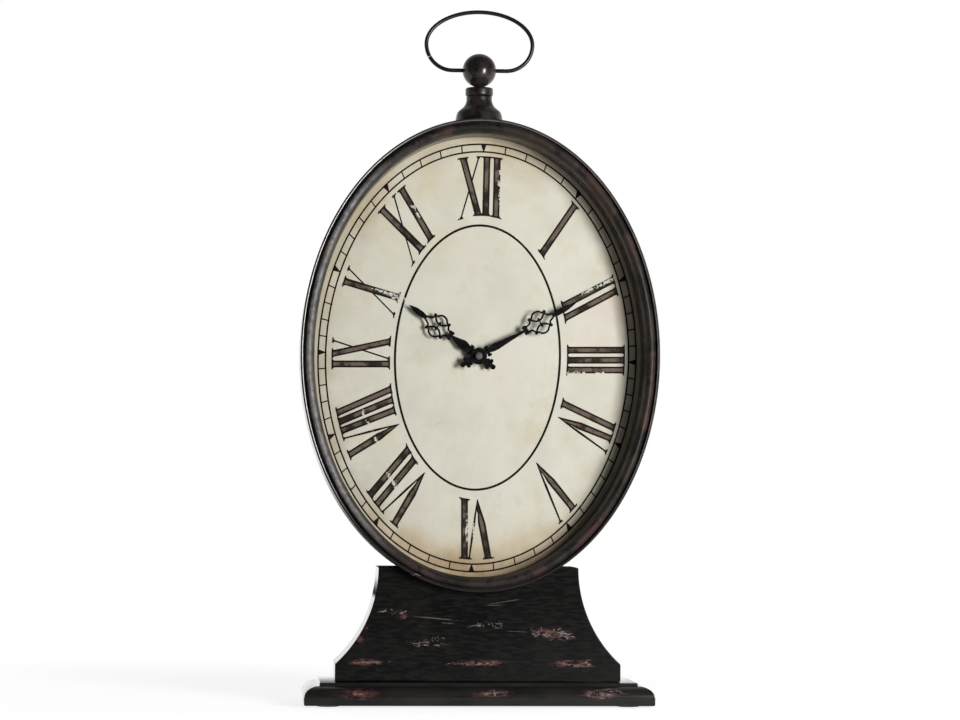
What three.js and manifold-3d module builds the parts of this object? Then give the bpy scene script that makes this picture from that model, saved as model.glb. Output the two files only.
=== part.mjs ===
// A table clock in the shape of an oversized oval pocket watch, standing on a coved wooden pedestal.
// Millimetres, +Z up, and the dial faces -Y. The origin lies on the table under the middle of the plinth.
import * as THREE from "three";
import { mergeVertices } from "three/addons/utils/BufferGeometryUtils.js";
import Module from "manifold-3d";

const wasm = await Module();
wasm.setup();

// Clearances, and how finely round pieces are faceted.
const seatGap = 0.3; // between pieces that rest on each other
const shaftGap = 0.15; // round a shaft that turns in its bore
const holeGap = 0.4; // round a screw, bolt or stud in its hole
const overrun = 1; // how far a cutter passes the face that it opens
const ovalSides = 60;
const turnedSides = 20;
const smallSides = 10;
const arcSteps = 4;

// Pedestal: a moulded plinth on felt feet, and a hollow coved block on top.
const footRadius = 10;
const footThickness = 1.2;
const footInset = 22;
const plinthWidth = 314;
const plinthDepth = 127;
const plinthEdge = 8.1; // height of its upright edge
const ovoloInset = 14;
const ovoloRise = 9.1;
const filletRise = 2.6;
const blockWidth = 258;
const blockTopWidth = 180.8;
const blockDepth = 70;
const riserRise = 15.6;
const coveRise = 87;
const faceBoard = 12;
const coveWall = 16;
const saddleRise = 22;
const saddleBelowCase = 12;
const woodScrewRadius = 2;
const woodScrewHead = 4;
const woodScrewLength = 34;
const woodScrewSink = 1;
const woodScrewCone = 2.4;
const woodScrewSpread = 20;

// Case: a sheet-metal band, bent to an oval, with a rolled bezel set in its front.
const caseHalfWidth = 162.4;
const caseHalfHeight = 213.8;
const caseSink = 22; // how far its foot lies below the block's top
const caseFront = -48;
const caseBack = 38;
const bandWall = 2.2;
const bandRound = 0.7;
const backRingWidth = 11.5;
const backRingThickness = 2.2;
const bezelStart = 3.2; // outer edge of the half-round moulding, in from the band's outside
const bezelEnd = 12.8;
const bezelWall = 1.5;
const bezelSink = 1; // how far its crown lies behind the band's front edge
const bezelCrown = 4.5; // rise of its outer side
const bezelFall = 13; // from its crown back to its inner lip
const grooveSink = 5;
const bezelSeatDepth = 5;
const caseBoltRadius = 3;
const boltHeadRadius = 5.6;
const boltHeadRise = 4;
const nutRadius = 5.6;
const nutRise = 5;
const boltSpare = 3; // thread past its nut
const caseBoltPlaces = [4.8, 16.6]; // front to back, behind the dial board
const backPanelWall = 2.4;
const backPanelInset = 4;
const backOpening = 104;
const backOpeningRound = 10;
const panelScrewRadius = 1.5;
const panelScrewHead = 3.2;
const panelScrewHeadRise = 1.8;
const panelScrewLength = 9;
const panelScrewBearings = [45, 135, 225, 315];

// Dial: a printed sheet on a board, behind the bezel.
const dialFront = -8.2;
const sheetThickness = 0.6;
const boardThickness = 6;
const dialHoleRadius = 4.4;
const crownNotch = 8; // half width of the notch that clears the nut of the crown's stud

// Crown: a turned neck and collar under a ball, which carries the bow.
const crownPlace = -5; // its axis, front to back
const neckBaseRadius = 22;
const neckShoulderRadius = 19.6;
const neckWaistRadius = 11.7;
const neckTopRadius = 12.1;
const neckShoulderRise = 10.5;
const neckFlareRise = 15;
const neckWaistRise = 21.5;
const neckRise = 25;
const collarRadius = 12.7;
const collarEdgeRadius = 11.9;
const collarRise = 7.6;
const collarRound = 1.6;
const studRadius = 3.2;
const studInBall = 9;
const studSpare = 3;
const ballRadius = 15.5;
const ballGap = 0.6; // from the collar's top to the ball's lowest point
const bowRadius = 1.85;
const bowHalfWidth = 48.8; // to the middle of its wire
const bowCornerRadius = 24.1;
const bowUpperRise = 29.9;
const bowJointGap = 0.5;
const bowJointAngle = 28; // degrees round the lower left corner
const bowSides = 8;
const bowSteps = 60;

// Hands: pierced steel, at ten past ten.
const handThickness = 0.8;
const handHubRadius = 7.6;
const hourHandLength = 78.6;
const minuteHandLength = 102;
const hourCollarAt = 31.4; // from the hands' axis to the cross collar
const minuteCollarAt = 48.5;
const collarHalfWidth = 3.6;
const collarLength = 2.8;
const hourPiercedAt = 46; // from the hands' axis to the middle of the pierced quatrefoil
const minutePiercedAt = 64;
const piercedCornerAlong = 8.1;
const piercedCornerAcross = 7.3;
const loopRadius = 5.1;
const loopAcross = 5.7;
const piercedWire = 1.5;
const handStemHalf = 1.3;
const hourBladeHalf = 4.6;
const minuteBladeHalf = 3.4;
const leafHalf = 3;
const tailLength = 18;
const tailKnobRadius = 1.9;
const tailHalf = 1.3;
const tailBarHalf = 3.4;
const tailBarAt = 11;
const tailBarLength = 2;
const notchHalf = 4.2;
const hourHandBearing = 306.05;
const minuteHandBearing = 59.75;
const hourHubRise = 1.3;
const minuteHubRise = 0.8;
const hourHubRadius = 4;
const minuteHubRadius = 3.2;
const handNutRadius = 3.4;
const handNutRise = 3;
const handNutCover = 1;

// Fixing of the movement in the dial.
const rubberThickness = 1;
const rubberRadius = 14;
const dialWasherRadius = 7.2;
const dialWasherThickness = 0.5;
const dialNutRadius = 7;
const dialNutRise = 2.4;

// Movement: a plastic case of two shells, with the gears, the motor and one round cell.
const shellWall = 1.2;
const batteryRadius = 7.1;
const batteryLength = 50.5;
const batteryNubRadius = 2.7;
const batteryNubLength = 1.3;
const contactThickness = 0.4;
const contactHalfHeight = 5.5;
const contactStripWidth = 3;
const contactStripRise = 14;
const movementHalfHeight = 28;
const trainDepth = 15.6;
const partitionEndGap = 1.6;
const bushingRadius = 4;
const bushingSpare = 0.9; // thread in front of the dial nut
const hourTubeRadius = 2.55;
const hourTubeSpare = 3.6; // tube in front of the bushing
const arborRadius = 1.6;
const firstStorey = 0.5;
const storeyRise = 2;
const wheelThickness = 1;
const pinionOverlap = 0.3;
const pivotRadius = 0.6;
const knobPivotRadius = 1.8;
const knobRadius = 6.2;
const knobRise = 3.4;
const magnetRadius = 3;
const magnetRise = 2;
const statorGap = 0.7;
const statorRim = 1.3;
const statorThickness = 1;
const statorBar = 2.2;
const coilRadius = 3.2;
const coilLength = 12;
const coilBar = 3.6;
const coilBarThickness = 0.8;
const coilPad = 4;
const coilPlace = -3.5; // its middle, left to right
const coilHeight = 23; // above the hands' axis
const postRadius = 1.1;
const boardWidth = 6.6;
const boardHeight = 21;
const boardLift = 1.2; // middle of the circuit board above the hands' axis
const circuitThickness = 1;
const crystalRadius = 1;
const crystalLength = 6;

// Tooth counts. The motion work turns the hour wheel once for twelve turns of the minute arbor.
const cannonTeeth = 10;
const intermediateTeeth = 30;
const hourPinionTeeth = 8;
const hourTeeth = 32;
const knobTeeth = 10;
const centreTeeth = 48;
const thirdTeeth = 45;
const secondsTeeth = 36;
const stepTeeth = 30;
const trainPinionTeeth = 6;
const motionModule = 0.55;
const centreModule = 0.4;
const fineModule = 0.33;
const addendumShare = 0.8;
const dedendumShare = 1.1;
const rootToothShare = 0.29;
const tipToothShare = 0.11;

// Bearings are degrees clockwise from twelve o'clock, seen from the front.
const intermediateBearing = 285;
const knobBearing = 255;
const thirdBearing = 60;
const secondsBearing = 350;
const stepBearing = 270;
const rotorBearing = 270;

// Materials.
const finish = (color, roughness, metalness) =>
  new THREE.MeshStandardMaterial({ color, roughness, metalness });
const blackWood = finish(0x15110f, 0.42, 0);
const rawBoard = finish(0x9a7a55, 0.85, 0);
const felt = finish(0x2b2a26, 1, 0);
const bronze = finish(0x241d1a, 0.42, 0.7);
const steel = finish(0x9c9a94, 0.4, 1);
const brass = finish(0xa98b4d, 0.35, 1);
const paper = finish(0xd8d2c2, 0.85, 0);
const handBlack = finish(0x100f0f, 0.45, 0.6);
const nutGrey = finish(0x6d6b69, 0.4, 0.8);
const rubber = finish(0x1b1b1b, 0.95, 0);
const blackPlastic = finish(0x1d1d1f, 0.55, 0);
const whitePlastic = finish(0xe4e1d8, 0.5, 0);
const magnetGrey = finish(0x4a4a4d, 0.5, 0.5);
const copper = finish(0xa8542e, 0.4, 0.9);
const circuitGreen = finish(0x2f5a3a, 0.6, 0);
const cellBlue = finish(0x27466e, 0.4, 0.3);

// Solids: closed geometry goes in, and geometry comes out of each cut or join.
function toSolid(geometry) {
  const bare = geometry.clone();
  bare.deleteAttribute("normal");
  bare.deleteAttribute("uv");
  const merged = mergeVertices(bare);
  const corners = merged.index.array;
  const kept = [];
  for (let i = 0; i < corners.length; i += 3) {
    const [a, b, c] = [corners[i], corners[i + 1], corners[i + 2]];
    if (a !== b && b !== c && c !== a) kept.push(a, b, c);
  }
  return new wasm.Manifold(
    new wasm.Mesh({
      numProp: 3,
      vertProperties: merged.attributes.position.array,
      triVerts: new Uint32Array(kept),
    }),
  );
}

function toGeometry(solid) {
  const { vertProperties, triVerts } = solid.getMesh();
  const geometry = new THREE.BufferGeometry();
  geometry.setAttribute("position", new THREE.BufferAttribute(vertProperties, 3));
  geometry.setIndex(new THREE.BufferAttribute(triVerts, 1));
  const faceted = geometry.toNonIndexed();
  faceted.computeVertexNormals();
  return faceted;
}

const join = (first, ...others) =>
  toGeometry(others.reduce((sum, other) => sum.add(toSolid(other)), toSolid(first)));
const cut = (first, ...tools) =>
  toGeometry(tools.reduce((rest, tool) => rest.subtract(toSolid(tool)), toSolid(first)));

// Shapes drawn on the dial's plane, x to the right and y up.
const point = (x, y) => new THREE.Vector2(x, y);
const radians = THREE.MathUtils.degToRad;
const toward = (bearing, distance) =>
  point(distance * Math.sin(radians(bearing)), distance * Math.cos(radians(bearing)));

function ellipse(halfWidth, halfHeight) {
  return new THREE.Shape().absellipse(0, 0, halfWidth, halfHeight, 0, 2 * Math.PI);
}

function circle(radius, centre = point(0, 0)) {
  return new THREE.Shape().absarc(centre.x, centre.y, radius, 0, 2 * Math.PI);
}

// A plate of a shape on the dial's plane, from the front face to the back face.
function plate(shape, front, back, sides = turnedSides) {
  const geometry = new THREE.ExtrudeGeometry(shape, {
    depth: back - front,
    bevelEnabled: false,
    curveSegments: sides / 2,
  });
  return geometry.rotateX(Math.PI / 2).translate(0, back, 0);
}

// A box between two corners.
function block(left, right, front, back, bottom, top) {
  const geometry = new THREE.BoxGeometry(right - left, back - front, top - bottom);
  return geometry.translate((left + right) / 2, (front + back) / 2, (bottom + top) / 2);
}
const centredBlock = (halfWidth, ...sides) => block(-halfWidth, halfWidth, ...sides);

// Turned pieces: the profile is [radius, height] pairs, from the low end to the high end.
const turned = (profile, sides = turnedSides) =>
  new THREE.LatheGeometry(profile.map(([r, h]) => point(r, h)), sides);
const turnedUpright = (profile, sides) => turned(profile, sides).rotateX(Math.PI / 2);
const rod = (radius, low, high) => [[0, low], [radius, low], [radius, high], [0, high]];
const tube = (inner, outer, low, high) => [
  [inner, low],
  [outer, low],
  [outer, high],
  [inner, high],
  [inner, low],
];

// A ring round the oval case. The profile is a closed list of [inset, y] pairs, where inset is
// measured in from the case's outside.
function ovalRing(profile) {
  const positions = [];
  const corners = [];
  const count = profile.length;
  for (let side = 0; side < ovalSides; side++) {
    const angle = (2 * Math.PI * side) / ovalSides;
    for (const [inset, y] of profile) {
      const x = (caseHalfWidth - inset) * Math.cos(angle);
      const z = (caseHalfHeight - inset) * Math.sin(angle);
      positions.push(x, y, z);
    }
  }
  for (let side = 0; side < ovalSides; side++) {
    const next = (side + 1) % ovalSides;
    for (let i = 0; i < count; i++) {
      const j = (i + 1) % count;
      const [a, b] = [side * count + i, side * count + j];
      const [c, d] = [next * count + i, next * count + j];
      corners.push(a, b, c, b, d, c);
    }
  }
  const geometry = new THREE.BufferGeometry();
  geometry.setAttribute("position", new THREE.Float32BufferAttribute(positions, 3));
  geometry.setIndex(corners);
  geometry.computeVertexNormals();
  return geometry;
}

// The case's outside, grown by a clearance, for cutting what the case rests in or what rests on it.
const caseCutter = (gap, front, back) =>
  plate(ellipse(caseHalfWidth + gap, caseHalfHeight + gap), front, back, ovalSides);

const clock = new THREE.Group();

function addTo(group, name, geometry, material) {
  const mesh = new THREE.Mesh(geometry, material);
  mesh.name = name;
  group.add(mesh);
  return mesh;
}

// Felt feet, stuck under the plinth's corners.
const cornerSigns = [[-1, -1], [1, -1], [1, 1], [-1, 1]];
const footX = plinthWidth / 2 - footInset;
const footY = plinthDepth / 2 - footInset;
const footPad = turnedUpright(rod(footRadius, 0, footThickness), smallSides);
cornerSigns.forEach(([sx, sy], i) => {
  addTo(clock, `felt_foot_${i + 1}`, footPad, felt).position.set(sx * footX, sy * footY, 0);
});

// Plinth: one board, with an ovolo and a fillet worked round its top.
const plinthBottom = footThickness + seatGap;
const ovoloFoot = plinthBottom + plinthEdge;
const filletFoot = ovoloFoot + ovoloRise;
const plinthTop = filletFoot + filletRise;
const screwX = blockWidth / 2 - coveWall / 2;
const screwBottom = plinthBottom + woodScrewSink;
const screwTop = screwBottom + woodScrewLength;

function mouldedBoard(levels) {
  const positions = [];
  const corners = [];
  for (const [inset, z] of levels)
    for (const [sx, sy] of cornerSigns)
      positions.push(sx * (plinthWidth / 2 - inset), sy * (plinthDepth / 2 - inset), z);
  for (let level = 0; level + 1 < levels.length; level++)
    for (let i = 0; i < 4; i++) {
      const j = (i + 1) % 4;
      const [a, b] = [level * 4 + i, level * 4 + j];
      corners.push(a, b, b + 4, a, b + 4, a + 4);
    }
  const last = (levels.length - 1) * 4;
  corners.push(0, 2, 1, 0, 3, 2, last, last + 1, last + 2, last, last + 2, last + 3);
  const geometry = new THREE.BufferGeometry();
  geometry.setAttribute("position", new THREE.Float32BufferAttribute(positions, 3));
  geometry.setIndex(corners);
  return geometry;
}

const plinthLevels = [[0, plinthBottom]];
for (let step = 0; step <= arcSteps; step++) {
  const angle = (Math.PI / 2) * (step / arcSteps);
  plinthLevels.push([ovoloInset * (1 - Math.cos(angle)), ovoloFoot + ovoloRise * Math.sin(angle)]);
}
plinthLevels.push([ovoloInset, plinthTop]);

// Countersunk wood screws, driven up through the plinth into the coved walls.
const woodScrewProfile = (gap) => [
  [0, screwBottom - gap],
  [woodScrewHead + gap, screwBottom - gap],
  [woodScrewRadius + gap, screwBottom + woodScrewCone],
  [woodScrewRadius + gap, screwTop + gap],
  [0, screwTop + gap],
];
const screwAccess = rod(woodScrewHead + holeGap, plinthBottom - overrun, screwBottom);
const screwPlaces = cornerSigns.map(([sx, sy]) => [sx * screwX, sy * woodScrewSpread]);
const screwHoles = screwPlaces.flatMap(([x, y]) => [
  turnedUpright(woodScrewProfile(holeGap), smallSides).translate(x, y, 0),
  turnedUpright(screwAccess, smallSides).translate(x, y, 0),
]);
addTo(clock, "plinth", cut(mouldedBoard(plinthLevels), ...screwHoles), blackWood);
screwPlaces.forEach(([x, y], i) => {
  const screw = turnedUpright(woodScrewProfile(0), smallSides);
  addTo(clock, `plinth_screw_${i + 1}`, screw, steel).position.set(x, y, 0);
});

// Coved block: front and back boards, two coved side walls, and the saddle board that the case lies on.
const blockBottom = plinthTop + seatGap;
const riserTop = blockBottom + riserRise;
const blockTop = riserTop + coveRise;
const coveSpread = (blockWidth - blockTopWidth) / 2;
const coveRadius = (coveRise ** 2 + coveSpread ** 2) / (2 * coveSpread);

// Everything that is placed from the middle of the dial. The case lies sunk in the block's top.
const caseCentre = blockTop - caseSink + caseHalfHeight;
const casing = new THREE.Group();
casing.position.z = caseCentre;
clock.add(casing);

// Half width of the block at a height: upright at the riser, then one arc, upright at the top.
function blockHalfWidth(z) {
  if (z < riserTop) return blockWidth / 2;
  const drop = blockTop - z;
  return blockTopWidth / 2 + coveRadius - Math.sqrt(coveRadius ** 2 - drop ** 2);
}

const coveSteps = 2 * arcSteps;
const blockSide = [point(blockWidth / 2, blockBottom)];
for (let step = 0; step <= coveSteps; step++) {
  const z = riserTop + (coveRise * step) / coveSteps;
  blockSide.push(point(blockHalfWidth(z), z));
}
const blockOutline = new THREE.Shape([
  ...blockSide,
  ...blockSide.map((p) => point(-p.x, p.y)).reverse(),
]);
const caseSeat = caseCutter(seatGap, caseFront - overrun, caseBack + overrun).translate(0, 0, caseCentre);
const boardFront = -blockDepth / 2;
const boardInside = boardFront + faceBoard;
addTo(clock, "pedestal_front_board", cut(plate(blockOutline, boardFront, boardInside), caseSeat), blackWood);
addTo(clock, "pedestal_back_board", cut(plate(blockOutline, -boardInside, -boardFront), caseSeat), blackWood);

const wallInside = boardInside + seatGap;
const pilotHole = turnedUpright(
  rod(woodScrewRadius + holeGap, blockBottom - overrun, screwTop + holeGap),
  smallSides,
);
for (const [name, sign] of [["pedestal_left_cove", -1], ["pedestal_right_cove", 1]]) {
  const inner = blockSide.map((p) => point(p.x - coveWall, p.y)).reverse();
  const outline = [...blockSide, ...inner].map((p) => point(sign * p.x, p.y));
  const wall = plate(new THREE.Shape(sign > 0 ? outline : outline.reverse()), wallInside, -wallInside);
  const holes = screwPlaces.map(([x, y]) => pilotHole.clone().translate(x, y, 0));
  addTo(clock, name, cut(wall, ...holes), blackWood);
}

const caseBottom = caseCentre - caseHalfHeight;
const saddleBottom = caseBottom - saddleBelowCase;
const saddleTop = saddleBottom + saddleRise;
const saddleHalfWidth = blockHalfWidth(saddleTop) - coveWall - seatGap;
const boltHole = (y, low, high) =>
  turnedUpright(rod(caseBoltRadius + holeGap, low, high), smallSides).translate(0, y, 0);
const saddle = centredBlock(saddleHalfWidth, wallInside, -wallInside, saddleBottom, saddleTop);
const saddleHoles = caseBoltPlaces.map((y) => boltHole(y, saddleBottom - overrun, saddleTop + overrun));
addTo(clock, "saddle_board", cut(saddle, caseSeat, ...saddleHoles), rawBoard);

// Two bolts hold the case down on the saddle.
const hexagon = (radius) =>
  new THREE.Shape(Array.from({ length: 6 }, (_, i) => toward(60 * i, radius)));
const uprightPlate = (shape, bottom, top) =>
  new THREE.ExtrudeGeometry(shape, { depth: top - bottom, bevelEnabled: false }).translate(0, 0, bottom);
function hexNut(shaftRadius, bottom, top) {
  const thread = turnedUpright(rod(shaftRadius + shaftGap, bottom - overrun, top + overrun), smallSides);
  return cut(uprightPlate(hexagon(nutRadius), bottom, top), thread);
}
const boltHeadTop = saddleBottom - seatGap;
// How far the band's faceted wall bends away from level within the radius of a nut.
const nutFall = ((nutRadius * caseHalfHeight) / caseHalfWidth) * Math.tan(Math.PI / ovalSides);
const caseNutBottom = caseBottom + bandWall + nutFall + seatGap;
const caseNutTop = caseNutBottom + nutRise;
caseBoltPlaces.forEach((y, i) => {
  const bolt = join(
    uprightPlate(hexagon(boltHeadRadius), boltHeadTop - boltHeadRise, boltHeadTop),
    turnedUpright(rod(caseBoltRadius, boltHeadTop - boltHeadRise / 2, caseNutTop + boltSpare), smallSides),
  );
  const nut = hexNut(caseBoltRadius, caseNutBottom, caseNutTop);
  addTo(clock, `case_bolt_${i + 1}`, bolt, steel).position.y = y;
  addTo(clock, `case_nut_${i + 1}`, nut, steel).position.y = y;
});

// Case band: bent sheet with rounded edges, and a flat ring soldered inside its back edge.
const bandProfile = [
  [bandRound, caseFront],
  [0, caseFront + bandRound],
  [0, caseBack - bandRound],
  [bandRound, caseBack],
  [bandWall, caseBack],
  [bandWall, caseFront + bandRound],
  [bandWall - bandRound, caseFront],
];
const ringFront = caseBack - backRingThickness;
const ringOuter = bandWall + seatGap;
const ringInner = ringOuter + backRingWidth;
const ringProfile = [
  [ringOuter, ringFront],
  [ringOuter, caseBack],
  [ringInner, caseBack],
  [ringInner, ringFront],
];
const bandTop = caseHalfHeight;
const bandHoles = caseBoltPlaces.map((y) =>
  boltHole(y, -bandTop - overrun, -bandTop + bandWall + overrun));
const studHole = turnedUpright(
  rod(studRadius + holeGap, bandTop - bandWall - overrun, bandTop + overrun),
  smallSides,
).translate(0, crownPlace, 0);
const panelFront = caseBack + seatGap;
const panelBack = panelFront + backPanelWall;
const panelScrewHeadFront = panelBack + seatGap;
const panelScrewInset = ringOuter + backRingWidth / 2;
const panelScrewPlaces = panelScrewBearings.map((bearing) =>
  point(
    (caseHalfWidth - panelScrewInset) * Math.sin(radians(bearing)),
    (caseHalfHeight - panelScrewInset) * Math.cos(radians(bearing)),
  ));
const panelScrewHole = (place, front, back) =>
  turned(rod(panelScrewRadius + holeGap, front, back), smallSides).translate(place.x, 0, place.y);
const ringHoles = panelScrewPlaces.map((place) =>
  panelScrewHole(place, ringFront - overrun, caseBack + overrun));
addTo(casing, "case_band", cut(ovalRing(bandProfile), ...bandHoles, studHole), bronze);
addTo(casing, "back_ring", cut(ovalRing(ringProfile), ...ringHoles), bronze);

// Bezel: a sloping half-round moulding with a skirt that runs back to the dial.
const crownY = caseFront + bezelSink;
const lipY = crownY + bezelFall;
const crestInset = bezelStart + bezelCrown;
const bezelFace = [];
for (let step = arcSteps; step >= 0; step--) {
  const angle = (Math.PI / 2) * (step / arcSteps);
  const inset = crestInset + (bezelEnd - crestInset) * Math.sin(angle);
  bezelFace.push([inset, crownY + bezelFall * (1 - Math.cos(angle))]);
}
const bezelProfile = [
  [bezelEnd - bezelWall, lipY + bezelSeatDepth],
  [bezelEnd - bezelWall, dialFront - seatGap],
  [bezelEnd, dialFront - seatGap],
  ...bezelFace,
  [bezelStart + bezelWall, crownY + bezelWall / 2],
  [bezelStart, crownY + bezelCrown / 2],
  [bezelStart, caseFront + grooveSink],
  [bandWall + seatGap, caseFront + grooveSink],
  [bandWall + seatGap, caseFront + grooveSink + bezelSeatDepth],
];
addTo(casing, "bezel", ovalRing(bezelProfile), bronze);

// Dial: the printed sheet and the board behind it, which fill the band from wall to wall.
const dialInset = bandWall + seatGap;
const dialShape = () => ellipse(caseHalfWidth - dialInset, caseHalfHeight - dialInset);
const studFoot = bandTop - bandWall - nutFall - seatGap - nutRise - studSpare;
const dialPlate = (front, back) =>
  cut(
    plate(dialShape(), front, back, ovalSides),
    turned(rod(dialHoleRadius, front - overrun, back + overrun), turnedSides),
    centredBlock(crownNotch, front - overrun, back + overrun, studFoot - seatGap, bandTop),
  );
const sheetBack = dialFront + sheetThickness;
const dialBoardFront = sheetBack + seatGap;
const dialBoardBack = dialBoardFront + boardThickness;
addTo(casing, "dial_sheet", dialPlate(dialFront, sheetBack), paper);
addTo(casing, "dial_board", dialPlate(dialBoardFront, dialBoardBack), rawBoard);

// Back panel, screwed to the ring, with an opening that a hand reaches the movement through.
const roundCentre = backOpening / 2 - backOpeningRound;
const openingCorners = [[1, 1], [-1, 1], [-1, -1], [1, -1]];
const openingShape = new THREE.Shape();
openingCorners.forEach(([sx, sy], i) => {
  const start = (Math.PI / 2) * i;
  openingShape.absarc(sx * roundCentre, sy * roundCentre, backOpeningRound, start, start + Math.PI / 2);
});
const panelShape = ellipse(caseHalfWidth - backPanelInset, caseHalfHeight - backPanelInset);
const backPanel = cut(
  plate(panelShape, panelFront, panelBack, ovalSides),
  plate(openingShape, panelFront - overrun, panelBack + overrun, smallSides),
  ...panelScrewPlaces.map((p) => panelScrewHole(p, panelFront - overrun, panelBack + overrun)),
);
addTo(casing, "back_panel", backPanel, rawBoard);
const panelScrewProfile = [
  [0, panelScrewHeadFront - panelScrewLength],
  [panelScrewRadius, panelScrewHeadFront - panelScrewLength],
  [panelScrewRadius, panelScrewHeadFront],
  [panelScrewHead, panelScrewHeadFront],
  [panelScrewHead, panelScrewHeadFront + panelScrewHeadRise],
  [0, panelScrewHeadFront + panelScrewHeadRise],
];
panelScrewPlaces.forEach((place, i) => {
  const screw = addTo(casing, `back_panel_screw_${i + 1}`, turned(panelScrewProfile, smallSides), steel);
  screw.position.set(place.x, 0, place.y);
});

// Crown: neck, collar and ball, clamped to the case by one stud.
const crown = new THREE.Group();
crown.position.set(0, crownPlace, bandTop);
casing.add(crown);
const neckProfile = [
  [studRadius + holeGap, -neckBaseRadius],
  [neckBaseRadius, -neckBaseRadius],
  [neckBaseRadius, 0],
  [(neckBaseRadius + neckShoulderRadius) / 2, neckShoulderRise / 2],
  [neckShoulderRadius, neckShoulderRise],
  [(neckShoulderRadius + neckWaistRadius) / 2, neckFlareRise],
  [neckWaistRadius + bandRound, (neckFlareRise + neckWaistRise) / 2],
  [neckWaistRadius, neckWaistRise],
  [neckTopRadius, neckRise - bandRound],
  [collarEdgeRadius, neckRise],
  [studRadius + holeGap, neckRise],
  [studRadius + holeGap, -neckBaseRadius],
];
const neckSeat = caseCutter(seatGap, -neckBaseRadius - overrun, neckBaseRadius + overrun);
neckSeat.translate(0, 0, -bandTop);
addTo(crown, "neck", cut(turnedUpright(neckProfile), neckSeat), bronze);
const collarBottom = neckRise + seatGap;
const collarTop = collarBottom + collarRise;
const collarProfile = [
  [studRadius + holeGap, collarBottom],
  [collarEdgeRadius, collarBottom],
  [collarRadius, collarBottom + collarRound],
  [collarRadius, collarTop - collarRound],
  [collarEdgeRadius, collarTop],
  [studRadius + holeGap, collarTop],
  [studRadius + holeGap, collarBottom],
];
addTo(crown, "collar", turnedUpright(collarProfile), bronze);
const ballCentre = collarTop + ballGap + ballRadius;
const studTop = ballCentre - ballRadius + studInBall;
const studNutTop = -bandWall - nutFall - seatGap;
const studNutBottom = studNutTop - nutRise;
addTo(crown, "pendant_stud", turnedUpright(rod(studRadius, studFoot - bandTop, studTop), smallSides), steel);
addTo(crown, "stud_nut", hexNut(studRadius, studNutBottom, studNutTop), steel);
const sphere = new THREE.SphereGeometry(ballRadius, turnedSides, turnedSides / 2).rotateX(Math.PI / 2);
const ball = cut(
  sphere.translate(0, 0, ballCentre),
  turnedUpright(rod(studRadius + holeGap, ballCentre - ballRadius - overrun, studTop + seatGap), smallSides),
  turned(rod(bowRadius + shaftGap, -ballRadius - overrun, ballRadius + overrun), smallSides)
    .rotateZ(Math.PI / 2)
    .translate(0, 0, ballCentre),
);
addTo(crown, "ball", ball, bronze);

// Bow: one length of wire, bent to an oval loop. Its foot runs through the ball, and its ends meet at
// the lower left corner.
const cornerX = bowHalfWidth - bowCornerRadius;
const bowWaist = ballCentre + bowCornerRadius;
const bowPoint = (x, z) => new THREE.Vector3(x, 0, z);
const jointShift = bowJointGap / bowCornerRadius;
const jointAt = radians(180 + bowJointAngle);
const cornerPoint = (side, angle) =>
  bowPoint(side * cornerX + bowCornerRadius * Math.cos(angle), bowWaist + bowCornerRadius * Math.sin(angle));
const spread = (from, to, count) => Array.from({ length: count }, (_, i) => from + ((to - from) * i) / count);
const bowPath = [
  ...spread(jointAt + jointShift, 1.5 * Math.PI, 2 * arcSteps).map((a) => cornerPoint(-1, a)),
  ...spread(-cornerX, cornerX, arcSteps).map((x) => bowPoint(x, ballCentre)),
  ...spread(1.5 * Math.PI, 2 * Math.PI, 2 * arcSteps).map((a) => cornerPoint(1, a)),
  ...spread(0, Math.PI, 4 * arcSteps).map((a) =>
    bowPoint(bowHalfWidth * Math.cos(a), bowWaist + bowUpperRise * Math.sin(a))),
  ...spread(Math.PI, jointAt, arcSteps).map((a) => cornerPoint(-1, a)),
  cornerPoint(-1, jointAt),
];
const bow = new THREE.ExtrudeGeometry(circle(bowRadius), {
  steps: bowSteps,
  curveSegments: bowSides / 2,
  extrudePath: new THREE.CatmullRomCurve3(bowPath, false, "centripetal"),
});
addTo(crown, "bow", bow, bronze);

// Fixing of the movement: a rubber washer behind the board, a steel washer and a nut in front of it.
const rubberFront = dialBoardBack + seatGap;
const shellFront = rubberFront + rubberThickness + seatGap;
const washerBack = dialFront - seatGap;
const washerFront = washerBack - dialWasherThickness;
const dialNutBack = washerFront - seatGap;
const dialNutFront = dialNutBack - dialNutRise;
const bushingFront = dialNutFront - bushingSpare;
const bushingHole = bushingRadius + shaftGap;
const ringPlate = (outer, front, back) => turned(tube(bushingHole, outer, front, back));
addTo(casing, "rubber_washer", ringPlate(rubberRadius, rubberFront, rubberFront + rubberThickness), rubber);
addTo(casing, "dial_washer", ringPlate(dialWasherRadius, washerFront, washerBack), brass);
const dialNutHole = turned(rod(bushingHole, dialNutFront - overrun, dialNutBack + overrun));
addTo(casing, "dial_nut", cut(plate(hexagon(dialNutRadius), dialNutFront, dialNutBack), dialNutHole), brass);

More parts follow.
